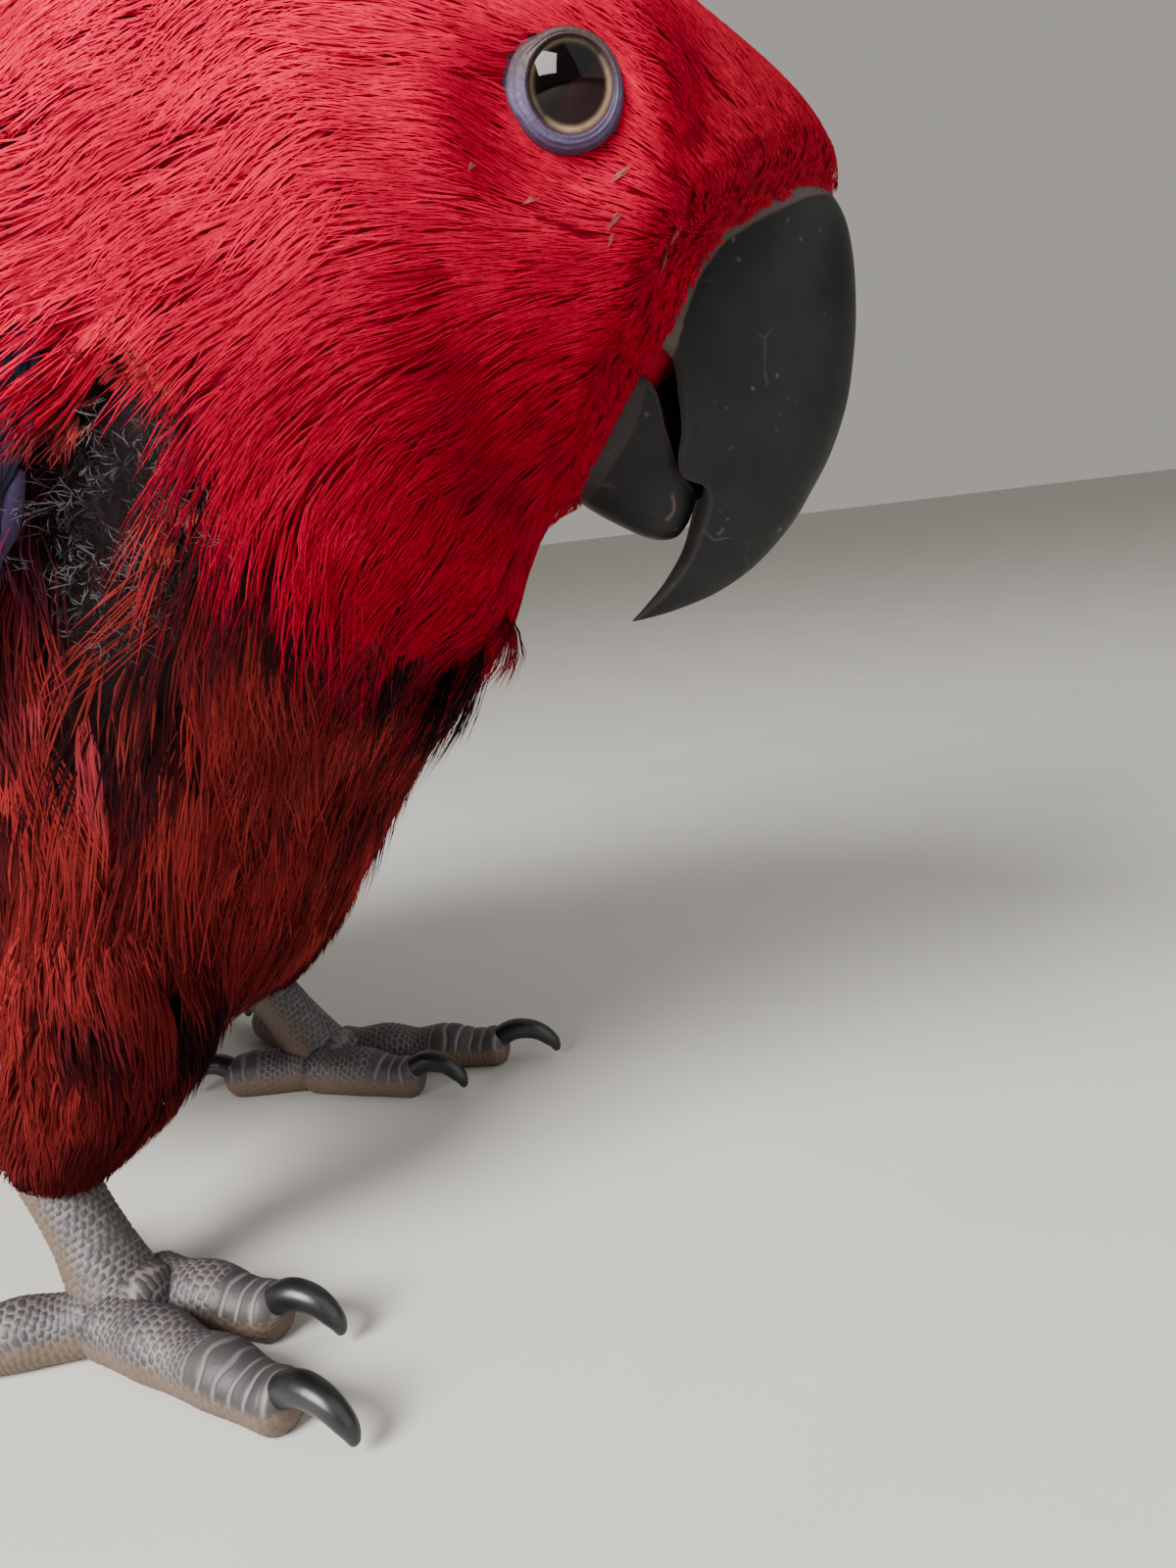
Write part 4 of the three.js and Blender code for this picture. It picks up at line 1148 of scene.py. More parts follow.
def dress_barbs(piece, barbs, tube_places, shades, unwrap):
    """Stores where points lie across their barb, a chance value for it, its colour and its map."""
    tube, count = len(tube_places), len(barbs["reach"])
    across = np.tile([-1.0, 1.0, 0.0] * tube + [0.0], count)
    chance = np.repeat((np.arange(count) * GOLDEN) % 1, 3 * tube + 1)
    set_values(piece, "lie", np.stack([across, chance, np.zeros(len(chance))], axis=-1))
    amount = np.concatenate([np.repeat(np.array(tube_places) * TIP_OF_TUBE, 3), [1.0]])
    root_shade, tip_shade = shades
    colours = root_shade[:, None] * (1 - amount[:, None]) + tip_shade[:, None] * amount[:, None]
    set_values(piece, "shade", colours.reshape(-1, 3))
    root_u, root_v = unwrap(barbs["place"], barbs["angle"])
    patch_u = np.array([0, 1, 0.5] * tube + [0.5]) * TUFT_PATCH
    lay_out(piece, (root_u[:, None] + patch_u).ravel(), (root_v[:, None] + amount * TUFT_PATCH).ravel())


MAP_EDGE = 0.01


def lay_out(piece, u, v):
    """Writes the OFBake map from one place a point."""
    mesh = piece.data
    corners = np.empty(len(mesh.loops), int)
    mesh.loops.foreach_get("vertex_index", corners)
    layer = mesh.uv_layers.new(name="OFBake")
    layer.uv.foreach_set("vector", np.stack([u[corners], v[corners]], axis=-1).ravel())


def unwrapped(end):
    """The OFBake map of a form with that end: round it is across the map, along it is up."""
    def unwrap(place, angle):
        return (angle / (2 * math.pi)) % 1 * (1 - MAP_EDGE), place / end * (1 - MAP_EDGE)
    return unwrap


STRAND_TURN = math.pi * 1.6


def plume_finish(name):
    """The stored colour, with finer strands across each barb that start at its chance value."""
    material, tree, shader = new_finish(name)
    across, chance, _ = lie_of(tree)
    start = figured(tree, "MULTIPLY", chance, 2 * math.pi)
    wave = figured(tree, "SINE", figured(tree, "MULTIPLY_ADD", across, STRAND_TURN, start))
    strands = ramp(tree, from_zero(tree, wave), [(0.0, 0.74), (0.7, 1.0)])
    grain = ramp(tree, noise(tree, 2200, 2), [(0.3, 0.8), (0.7, 1.0)])
    shade = blended(tree, 1.0, stored(tree, "shade")["Color"], strands, "MULTIPLY")
    finish_shader(tree, shader, blended(tree, 1.0, shade, grain, "MULTIPLY"), 0.75, 0.02)
    return material


# Places along the body, and at each of them how long and thick a spray's barbs are, how broad
# it is, how high its tip lies and how many sprays grow on a square millimetre
COAT_PLACES = [0, 2, 4, 5.5, 6.5, 7.5, 9, 10.5, 12, 13.5, 15]
COAT_LENGTH = [14, 14, 15, 16, 15, 12, 8.6, 6.2, 4.2, 2.9, 2.0]
COAT_THICK = [0.30, 0.30, 0.28, 0.24, 0.20, 0.175, 0.16, 0.155, 0.15, 0.14, 0.13]
COAT_HALF = [2.2, 2.2, 2.1, 1.9, 1.6, 1.25, 0.95, 0.75, 0.6, 0.5, 0.4]
COAT_TIP = [0.5, 0.5, 0.6, 0.7, 0.55, 0.4, 0.25, 0.15, 0.08, 0.03, 0.0]
COAT_CLOSE = [0.085, 0.085, 0.09, 0.11, 0.16, 0.24, 0.42, 0.75, 1.35, 2.4, 3.4]
BARBS, FACE_BARBS = 11, 7
ROOT_DEPTH = 0.2
COAT_BANDS = {
    "rump": (0.05, 2.6), "flank": (2.6, 4.9), "breast": (4.9, 6.7), "neck": (6.7, 8.3),
    "cheek": (8.3, 9.9), "crown": (9.9, 11.4), "brow": (11.4, 12.7), "lore": (12.7, 13.8),
    "face": (13.8, 14.97),
}


def by_place(place, values):
    return np.interp(place, COAT_PLACES, values)


def under_wing(place, angle):
    """1 where the folded wing covers the body."""
    return spread(1.2, 2.5, wing_height(place, angle))


def feathered(point):
    """1 where feathers grow, and 0 on the bill, the eyes' rings and inside the thighs."""
    forward, above, _ = in_head(point)
    return (near_eye(point) > EYE_RING - 1.2) & (beyond_feathers(forward, above) < -0.1)


def coat_density(point, place, angle):
    """Sprays on a square millimetre: few on the plucked patch, none under wings and thighs."""
    thin = (1 - 0.95 * bareness(point)) * (under_wing(place, angle) < 0.5)
    if place.min() < 6.7:
        normal = surface_at(body_form, place, angle)[3]
        thin = thin * (thigh_rise(point, normal) < THIGH_RISE)
    return by_place(place, COAT_CLOSE) * thin * feathered(point)


def swept_back(chance, count):
    """Which way feathers lie: fanned out from the bill on the cheek, hanging on neck and breast."""
    stray = chance.normal(0, 1, count)

    def heading(point, place, along, normal, feather):
        side = np.where(in_head(point)[2] > 0, LEFT, RIGHT)
        fan_from = on_head(12, 5) + HEAD_LEFT * (side * 9)[:, None]
        cheek = spread(13, 0, in_head(point)[1]) * spread(7.4, 9.0, place)
        way = unit(mix(-unit(along), unit(point - fan_from), cheek * 0.85))
        hang = (0.12 + 0.63 * spread(106, 84, point[:, 2])) * spread(10.0, 7.5, place)
        hang = hang - 0.2 * spread(5.5, 3.0, place)
        way = laid_flat(way + DOWN * hang[:, None], normal)
        wander = 0.14 * mottle(point, 14, 12)
        wander = wander + stray[feather] * (0.05 + 0.16 * spread(7.6, 6.2, place))
        return unit(way + np.cross(normal, way) * wander[:, None])
    return heading


TOWARD_PATCH = np.array([-0.45, 0, -0.9])


def coat_lengths(point, place, angle, chance):
    """How long each spray is: less at the bill, under the wing and where it would cross the patch."""
    forward, above, _ = in_head(point)
    brink = spread(-0.1, -5.0, beyond_feathers(forward, above))
    length = by_place(place, COAT_LENGTH) * chance.uniform(0.75, 1.2, len(place)) * (0.5 + 0.5 * brink)
    length = length * (1 - 0.55 * under_wing(place, angle))
    for reach in (4.0, 8.0, 12.0):
        length = length * (1 - 0.55 * bareness(point + TOWARD_PATCH * reach))
    return length


LOCK_SIZE, LOCK_SEED = 9, 61
# A painted highlight added to each barb's tip
TIP_HIGHLIGHT = (0.010, 0.0006, 0.0012)


def coat_shades(point, place, feather, ragged, chance):
    """Each barb's colour at its root and tip: the plumage there, in dark and rusty locks below, darker
    at the root and with a painted highlight on the tip.
    """
    lock = mottle(point, LOCK_SIZE, LOCK_SEED) + chance.normal(0, 0.25, len(point))
    moulting = spread(7.0, 6.0, place)
    colour = mix(plumage(point), BLACKISH, moulting * spread(-0.5, -1.0, lock) * 0.85)
    colour = mix(colour, RUSSET, moulting * spread(0.3, 0.9, lock) * 0.7)
    bright = chance.normal(1, 0.12, len(point))[feather] * chance.uniform(0.86, 1.14, len(feather))
    bright = bright * (1 + ragged * chance.normal(0, 0.22, len(point))[feather])
    colour = colour[feather] * np.clip(bright, 0.25, 1.8)[:, None]
    return colour * 0.8, colour + TIP_HIGHLIGHT


def grow_coat(name, places, side, seed):
    chance = np.random.default_rng(seed)
    span = (0.0, math.pi) if side == LEFT else (-math.pi, 0.0)
    root_place, root_angle = scatter(body_form, places, span, coat_density, chance)
    point = body_form(root_place, root_angle)
    length = coat_lengths(point, root_place, root_angle, chance)
    count = FACE_BARBS if places[0] > 11 else BARBS
    barbs = sprays(body_form, root_place, root_angle, count, length, by_place(root_place, COAT_THICK),
                   by_place(root_place, COAT_HALF), swept_back(chance, len(root_place)), chance)
    feather, place = barbs["feather"], barbs["place"]
    ragged = spread(7.6, 6.2, place)
    loose = np.maximum(chance.normal(0.0, 0.55, len(point)), 0)
    tip = by_place(place, COAT_TIP) * chance.uniform(-0.2, 1.4, len(place))
    tip = tip + 1.7 * (ragged * loose[feather])
    root = -np.interp(place, np.arange(len(COAT_DEPTH)), COAT_DEPTH) - ROOT_DEPTH
    barbs["bend"] += ragged * chance.normal(0, 0.12, len(place))
    shades = coat_shades(point, root_place, feather, ragged, chance)
    droop = 0.35 * spread(9.5, 6.5, place) * (0.3 + 0.7 * spread(106, 88, point[feather][:, 2]))
    kind = SHORT_BARB if places[0] > 9 else LONG_BARB
    return grow_barbs(name, body_form, barbs, (root, tip), droop, shades, unwrapped(BILL_BASE), kind)


plume_material = plume_finish("small feathers")
seed = 100
for band, places in COAT_BANDS.items():
    for side_name, side in SIDES.items():
        seed += 1
        coat = grow_coat(f"{band}_feathers_{side_name}", places, side, seed)
        coat.data.materials.append(plume_material)
        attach(coat, "root")

# The right shoulder is plucked. Grey-white wisps of down curl on the dark skin there and a few
# long red feathers cross it. Fuller tufts hang over the wing's bend and stand out on the breast.
BODY_NET = np.meshgrid(np.linspace(0.5, 14.5, 200), np.linspace(-math.pi, math.pi, 260), indexing="ij")
BODY_NET = (BODY_NET[0].ravel(), BODY_NET[1].ravel())
BODY_NET_POINTS = body_form(*BODY_NET)


def nearest_on_body(points):
    """Place and angle of the form's point nearest to each of these."""
    nearest = [np.linalg.norm(BODY_NET_POINTS - point, axis=1).argmin() for point in points]
    return BODY_NET[0][nearest], BODY_NET[1][nearest]


# Each stray feather or tuft: near what point it starts, which way it lies, its length, half its
# breadth, how high its tip stands, and its colour
STRAY_RED = np.array([0.34, 0.024, 0.030])
STRAY_PINK = np.array([0.30, 0.030, 0.040])
PIN_SHEATH = np.array([0.30, 0.09, 0.09])
STRAY_FEATHERS = [
    ((38, -34.8, 88), (-12, -1, -10), 12, 0.6, 1.8, STRAY_RED),
    ((36, -35.2, 85), (-9, -1, -12), 12, 0.5, 2.6, STRAY_RED * 0.8),
    ((37, -34.2, 82), (-14, -1, -6), 14, 1.0, 1.8, BREAST_RED),
    ((35, -33.4, 78), (-15, 0, -4), 15, 1.2, 1.5, BREAST_RED * 0.8),
    ((17, -32.5, 73.5), (-1, 0, -7), 6, 0.4, 1.8, STRAY_PINK),
    ((42, -12, 61), (-2, -1, -8), 12, 1.6, 2.4, BREAST_RED * 0.8),
    ((38, -6, 56), (-3, -1, -8), 12, 1.6, 3.4, BREAST_RED * 0.7),
    ((33, -4, 49), (-4, -1, -8), 12, 1.5, 3.6, BREAST_RED * 0.6),
    ((26, -6, 41), (-5, -1, -8), 11, 1.5, 3.6, BREAST_RED * 0.5),
    ((67.5, -30, 108.5), (-4, -1, -2), 1.7, 0.1, 0.6, PIN_SHEATH),
    ((71.5, -28.5, 107), (-4, -1, -2), 2.0, 0.1, 0.6, PIN_SHEATH),
    ((76.5, -25, 106.5), (-4, -1, -2), 2.2, 0.1, 0.6, PIN_SHEATH * 0.9),
    ((76.0, -25, 103.5), (-4, -1, -3), 1.8, 0.1, 0.6, PIN_SHEATH * 0.7),
    ((75.0, -25.4, 102.0), (-4, -1, -4), 1.2, 0.1, 0.6, PIN_SHEATH * 0.8),
    ((79.2, -19.0, 102.2), (-1, -1, -4), 1.8, 0.1, 0.5, PIN_SHEATH),
    ((78.6, -18.5, 100.2), (-1, -1, -4), 2.0, 0.1, 0.5, PIN_SHEATH * 0.7),
]
FULL_TUFTS = [
    ((54, -9, 73.5), (3, -3, -6), 7, 1.4, 5.0, CRIMSON),
    ((53.5, -5, 72.5), (3, -3, -6), 6, 1.2, 5.0, BREAST_RED),
    ((52.1, -9, 70.9), (1, -3, -8), 12, 1.6, 7.4, BLACKISH),
    ((51, -6, 70.3), (1, -3, -8), 12, 1.4, 6.6, BLACKISH * 1.3),
    ((50, -12, 70), (0, -2, -8), 12, 1.8, 6.4, BLACKISH),
    ((50.5, -19.9, 73.3), (-1, -2, -8), 13, 2.0, 2.4, BLACKISH),
    ((20.8, -32.2, 69.5), (-2.5, 0, -12), 13, 0.9, 2.6, STRAY_PINK),
    ((41, -38, 104), (-12, -1, -5), 13, 2.2, 1.4, SCARLET * 0.8),
    ((38, -37, 101), (-12, -1, -6), 12, 2.2, 1.2, CRIMSON),
    ((36, -37, 104), (-12, -1, -5), 13, 2.4, 1.4, SCARLET * 0.8),
    ((35, -37, 99), (-12, -1, -7), 11, 2.0, 1.2, CRIMSON * 0.9),
    ((38, -37, 107), (-12, -1, -4), 14, 2.4, 1.4, SCARLET),
    ((34, -37, 109), (-12, -1, -4), 14, 2.4, 1.4, SCARLET),
    ((32, -37, 105), (-12, -1, -5), 13, 2.4, 1.4, SCARLET * 0.9),
    ((33, -37, 101), (-12, -1, -6), 12, 2.2, 1.2, CRIMSON),
]
STRAY_ROOT, STRAY_DROOP = -0.8, 0.1


def grow_strays(name, feathers, count, width, seed):
    """Sprays of so many barbs at the places in the list, each barb of that width."""
    chance = np.random.default_rng(seed)
    columns = list(zip(*feathers))
    place, angle = nearest_on_body(np.array(columns[0], float))
    toward = unit(np.array(columns[1], float))
    length, half, height = (np.array(column, float) for column in columns[2:5])
    barbs = sprays(body_form, place, angle, count, length, np.full(len(place), width), half,
                   lambda point, place, along, normal, feather: toward[feather], chance, 0.22)
    feather = barbs["feather"]
    raised = height[feather] * chance.uniform(0.7, 1.15, len(feather))
    colour = np.array(columns[5])[feather] * chance.uniform(0.8, 1.2, len(feather))[:, None]
    return grow_barbs(name, body_form, barbs, (np.full(len(feather), STRAY_ROOT), raised),
                      np.full(len(feather), STRAY_DROOP), (colour * 0.8, colour), unwrapped(BILL_BASE))


DOWN_ROOT = -1.5
DOWN_GREY = np.array([1.0, 0.93, 0.95])


def grow_down():
    """Short wisps that curl in every direction over the plucked patch."""
    chance = np.random.default_rng(250)

    def thick_of_it(point, place, angle):
        return 1.5 * bareness(point) * (point[:, 1] < 0) * spread(96, 91, point[:, 2])

    place, angle = scatter(body_form, (4.2, 7.2), (-2.6, -0.5), thick_of_it, chance)
    count = len(place)
    swirl = chance.uniform(0, 2 * math.pi, count)

    def any_way(point, place, along, normal, feather):
        first = unit(along)
        second = np.cross(normal, first)
        turn = swirl[feather][:, None]
        return first * np.cos(turn) + second * np.sin(turn)

    barbs = sprays(body_form, place, angle, 3, chance.uniform(1.2, 2.6, count), np.full(count, 0.13),
                   np.full(count, 0.3), any_way, chance, 0.5)
    feather = barbs["feather"]
    barbs["bend"] = chance.normal(0, 1.6, len(feather))
    pale = (0.012 + 0.13 * chance.random(count) ** 3)[feather]
    grey = pale[:, None] * DOWN_GREY
    high = chance.uniform(-0.6, 0.9, len(feather))
    return grow_barbs("down_wisps", body_form, barbs, (np.full(len(feather), DOWN_ROOT), high),
                      np.zeros(len(feather)), (grey * 0.5, grey), unwrapped(BILL_BASE))


for stray in (grow_strays("stray_feathers", STRAY_FEATHERS, 9, 0.17, 240),
              grow_strays("full_tufts", FULL_TUFTS, 26, 0.24, 241), grow_down()):
    stray.data.materials.append(plume_material)
    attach(stray, "root")

# The thighs wear dark red feathers that hang over the top of the bare shank like trousers.
# They are the same loose sprays as on the body.
THIGH_DULL = 0.68
THIGH_DROOP = 0.2
THIGH_ROOT = -1.9
THIGH_HANG = 0.35
THIGH_BARB_WIDTH = 0.30
# A painted highlight added to each thigh barb's tip
THIGH_TIP_HIGHLIGHT = (0.006, 0.0008, 0.0010)


def grow_thigh_coat(name, side, seed):
    chance = np.random.default_rng(seed)
    form = thigh_form(side)
    place, angle = scatter(form, (0.45, 1.98), (0, 2 * math.pi),
                           lambda point, place, angle: 0.15 + 0.15 * spread(1.0, 2.0, place), chance)
    point = form(place, angle)
    stray = chance.normal(0, 0.14, len(place))

    def hanging(point, place, along, normal, feather):
        way = laid_flat(unit(along) + DOWN * THIGH_HANG, normal)
        return unit(way + np.cross(normal, way) * stray[feather][:, None])

    length = (12 - 2.5 * place) * chance.uniform(0.75, 1.15, len(place))
    barbs = sprays(form, place, angle, BARBS, length, np.full(len(place), THIGH_BARB_WIDTH),
                   1.7 - 0.35 * place, hanging, chance)
    feather = barbs["feather"]
    tip = 0.2 + 0.9 * chance.random(len(point))[feather] * chance.random(len(feather))
    root = np.full(len(feather), THIGH_ROOT)
    bright = np.clip(chance.normal(1, 0.3, len(point)), 0.3, 1.8)[feather]
    bright = bright * chance.uniform(0.85, 1.15, len(feather))
    colour = plumage(point)[feather] * THIGH_DULL * bright[:, None]
    return grow_barbs(name, form, barbs, (root, tip), np.full(len(feather), THIGH_DROOP),
                      (colour * 0.7, colour + THIGH_TIP_HIGHLIGHT), unwrapped(THIGH_END))


for side_name, side in SIDES.items():
    coat = grow_thigh_coat(f"thigh_feathers_{side_name}", side, 210 + side)
    coat.data.materials.append(plume_material)
    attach(coat, "root")

# The folded wings carry rows of overlapping feathers: long primaries and secondaries, then
# shorter coverts, each a stiff vane with a shaft. Small scale-like feathers cover the arm.
# The form that the folded wings follow is the body's, with a taper of their own behind it.
WING_STATIONS = np.array([
    station((-196, 0, 14), (-192, 0, -4), 17),
    station((-172, 0, 22), (-167, 0, 0), 19),
    station((-148, 0, 31.5), (-143, 0, 4), 21),
    station((-126, 0, 42), (-120, 0, 11), 23),
    station((-106, 0, 52.5), (-101, 0, 20), 25),
    station((-88, 0, 62), (-86, 0, 25), 27.5),
    station((-64, 0, 79), (-58, 0, 21.5), 31),
] + TORSO_STATIONS[3:] + NECK_STATIONS[:1])
VANE_OUTLINE = [0.5, 0.8, 0.94, 1.0, 1.0, 0.97, 0.88, 0.66, 0.12]
WING_MAROON = np.array([0.13, 0.008, 0.016])
WING_DARK = np.array([0.03, 0.006, 0.014])
WING_VIOLET = np.array([0.012, 0.008, 0.040])
VANE_CROWN = 0.066
SHAFT_WIDTH, SHAFT_HIGH = 0.09, 0.22


def wing_point(side, place, degrees, lift):
    return section_point(WING_STATIONS, place, side * np.radians(degrees), lift)


def vane_grid(edge, half, thick, rows, columns, chance):
    """A thin closed feather vane with a raised shaft, as points, quads and its own lie."""
    t = np.linspace(0, 1, rows)
    outline = np.interp(t, np.linspace(0, 1, len(VANE_OUTLINE)), VANE_OUTLINE)
    ragged = 1 + 0.05 * chance.normal(size=rows) * spread(0.1, 0.4, t)
    c = np.linspace(-1, 1, columns)
    tt, cc = np.meshgrid(t, c, indexing="ij")
    across = cc * (half * outline * ragged)[:, None]
    crown = (1 - np.abs(cc) ** 1.4) * VANE_CROWN * half
    shaft = SHAFT_HIGH * thick * np.exp(-(cc / SHAFT_WIDTH) ** 2) * (1 - tt)
    body = thick * (0.5 - 0.32 * np.abs(cc)) * (1 - 0.5 * tt)
    top = edge(tt, across, crown + body + shaft)
    under = edge(tt, across, crown - body - shaft)[:, ::-1]
    rings = np.concatenate([top, under], axis=1)
    points, quads, triangles = closed_tube(rings)
    lie_top = np.stack([across, tt, cc], axis=-1)
    lie = np.concatenate([lie_top, lie_top[:, ::-1]], axis=1).reshape(-1, 3)
    lie = np.concatenate([lie, [[0, 0, 0]], [[0, 1, 0]]])
    return points, quads, triangles, lie


WING_STEP = 0.05


def wing_edge(side, root, tip, lift, tilt):
    """How a wing vane follows the wing: a function of the way along, across and up."""
    def edge(t, across, height):
        place = root[0] + (tip[0] - root[0]) * t
        degrees = root[1] + (tip[1] - root[1]) * t
        high = lift[0] + (lift[1] - lift[0]) * t
        here = wing_point(side, place, degrees, high)
        out = unit(wing_point(side, place, degrees, high + 1) - here)
        forward = (wing_point(side, place + WING_STEP, degrees, high) - here) / WING_STEP
        about = wing_point(side, place, degrees + 1, high) - here
        turn = (tip[1] - root[1]) / (tip[0] - root[0])
        along = unit(forward + about * turn)
        sideways = np.cross(along, out) * side * across[..., None]
        place, degrees = step_over(place, degrees, forward, about, sideways)
        return wing_point(side, place, degrees, high + height - tilt * across)
    return edge


class Pile:
    """Feathers laid together before they become one piece."""

    def __init__(self):
        self.points, self.quads, self.triangles = [], [], []
        self.lies, self.shades, self.roots = [], [], []
        self.count = 0

    def add(self, made, shade, root):
        points, quads, triangles, lie = made
        self.points.append(points)
        self.quads.append(quads + self.count)
        self.triangles.append(triangles + self.count)
        self.lies.append(lie)
        self.shades.append(shade)
        patch = np.stack([lie[:, 2] / 2 + 0.5, lie[:, 1]], axis=-1) * TUFT_PATCH
        self.roots.append(np.array(root) + patch)
        self.count += len(points)

    def piece(self, name, material):
        made = make_piece(name, np.concatenate(self.points), np.concatenate(self.quads),
                          np.concatenate(self.triangles), material)
        face_outward(made)
        set_values(made, "lie", np.concatenate(self.lies))
        set_values(made, "shade", np.concatenate(self.shades))
        patch = np.concatenate(self.roots)
        lay_out(made, patch[:, 0], patch[:, 1])
        return made


def wing_shade(lie, near, far, edge_colour, chance):
    """A vane's colour: its own red near the shaft, darker along its edges and base."""
    t, c = lie[:, 1], lie[:, 2]
    shade = mix(np.broadcast_to(near, (len(t), 3)), far, spread(0.45, 1.0, t))
    shade = mix(shade, edge_colour, spread(0.55, 1.0, -c) * 0.8)
    return shade * chance.uniform(0.82, 1.18)


WING_VANE_THICK = 0.42
MAP_PLACES = 12


def lay_row(pile, side, count, low, high, reach, colours, chance, rows=18, columns=9):
    """One row of vanes between its lowest and its highest feather."""
    for i in range(count):
        t = i / (count - 1)
        root, tip, lift, half, tilt = (
            np.array(low[key]) * (1 - t) + np.array(high[key]) * t
            for key in ("root", "tip", "lift", "half", "tilt"))
        tip[0] -= reach(t) + chance.normal(0, 0.03)
        tip[1] += chance.normal(0, 0.5)
        edge = wing_edge(side, root, tip, lift, tilt)
        made = vane_grid(edge, half, WING_VANE_THICK, rows, columns, chance)
        shade = wing_shade(made[3], *colours(t), chance)
        pile.add(made, shade, (root[1] / 180, root[0] / MAP_PLACES))


def make_wing(side, name, material, seed):
    """One folded wing: its arm, primaries, secondaries, two rows of coverts and the scales."""
    chance = np.random.default_rng(seed)
    pile = Pile()
    pile.add(*wing_arm(side))
    lay_row(
        pile, side, 8,
        dict(root=(5.6, 86), tip=(2.2, 64), half=5.6, lift=(1.4, 1.2), tilt=0.16),
        dict(root=(5.4, 50), tip=(2.4, 36), half=6.6, lift=(2.4, 4.4), tilt=0.16),
        lambda t: 1.75 * math.sin(math.pi * (0.08 + 0.84 * t)),
        lambda t: (WING_VIOLET * 0.6, WING_DARK * 0.8, WING_VIOLET * 1.2), chance)
    lay_row(
        pile, side, 11,
        dict(root=(7.5, 92), tip=(4.5, 92), half=6.4, lift=(3.4, 5.2), tilt=0.13),
        dict(root=(6.9, 31), tip=(3.9, 12), half=7.6, lift=(3.7, 6.4), tilt=0.13),
        lambda t: 0.5 * t,
        lambda t: (mix(WING_VIOLET, WING_MAROON * 0.9, spread(0.1, 0.4, t)), WING_MAROON,
                   WING_DARK), chance)
    lay_row(
        pile, side, 12,
        dict(root=(8.1, 92), tip=(6.4, 95), half=4.6, lift=(3.9, 6.5), tilt=0.1),
        dict(root=(7.7, 40), tip=(6, 27), half=5.4, lift=(3.9, 7.2), tilt=0.1),
        lambda t: 0.12 * math.sin(9 * t),
        lambda t: (mix(WING_VIOLET, WING_MAROON, spread(0.0, 0.25, t)), WING_MAROON * 1.15,
                   WING_DARK), chance, 12, 7)
    lay_row(
        pile, side, 12,
        dict(root=(8.9, 88), tip=(7.6, 92), half=4.2, lift=(3.9, 7.2), tilt=0.09),
        dict(root=(8.6, 42), tip=(7.2, 30), half=4.8, lift=(3.9, 7.9), tilt=0.09),
        lambda t: 0.1 * math.sin(11 * t),
        lambda t: (mix(WING_VIOLET, WING_MAROON, spread(0.0, 0.3, t)), WING_MAROON * 1.25,
                   WING_DARK), chance, 10, 7)
    scale_feathers(pile, side, chance)
    return pile.piece(f"wing_feathers_{name}", material)


def arm_lift(along, across):
    thick = smooth(ARM_OUTLINE, along)[..., 3]
    crown = np.sin(math.pi * (0.06 + 0.88 * across)) ** 0.6
    return WING_CLEAR + 0.5 + thick * crown


def wing_arm(side):
    """The arm and hand under their small feathers, as one smooth pad."""
    rows, columns = 30, 24
    along, across = np.meshgrid(np.linspace(0, len(ARM_OUTLINE) - 1, rows), np.linspace(0, 1, columns),
                                indexing="ij")
    value = smooth(ARM_OUTLINE, along)
    degrees = value[..., 1] + (value[..., 2] - value[..., 1]) * across
    top = wing_point(side, value[..., 0], degrees, arm_lift(along, across) - 0.4)
    under = wing_point(side, value[..., 0], degrees, WING_CLEAR)[:, ::-1]
    points, quads, triangles = closed_tube(np.concatenate([top, under], axis=1))
    lie = np.zeros((len(points), 3))
    lie[:, 1] = 0.5
    shade = np.tile(WING_DARK, (len(points), 1))
    return (points, quads, triangles, lie), shade, (0.5, 0.5)


SCALE_ROWS, SCALES_A_ROW = 15, 15


def scale_feathers(pile, side, chance):
    """Rows of small rounded feathers from the wing's bend back over the arm."""
    for row in range(SCALE_ROWS):
        along = 0.12 + row * 0.185
        for i in range(SCALES_A_ROW):
            across = (i + 0.5 * (row % 2) + 0.25) / (SCALES_A_ROW + 0.5) + chance.normal(0, 0.008)
            value = smooth(ARM_OUTLINE, along)
            degrees = value[1] + (value[2] - value[1]) * across
            high = float(arm_lift(along, across)) - 0.5
            root = (value[0], degrees)
            tip = (value[0] - 0.62 - 0.1 * chance.random(), degrees + 3 - 6 * across)
            edge = wing_edge(side, root, tip, (high - 0.3, high + 0.9), 0.05)
            made = vane_grid(edge, 2.9 + 0.6 * chance.random(), 0.3, 7, 5, chance)
            bend = spread(1.0, 0.0, along) * 0.9 + spread(0.25, 0.0, across) * 0.9
            near = mix(WING_MAROON, WING_VIOLET * 1.1, np.clip(np.array(bend), 0, 1))
            shade = wing_shade(made[3], near, near * 1.25, near * 0.5, chance)
            pile.add(made, shade, (degrees / 180, value[0] / MAP_PLACES))


BARB_SLANT, BARB_WOBBLE, BARB_BEAT = 45.0, 1.6, 15.0
SHAFT_BROWN = (0.02, 0.008, 0.008)


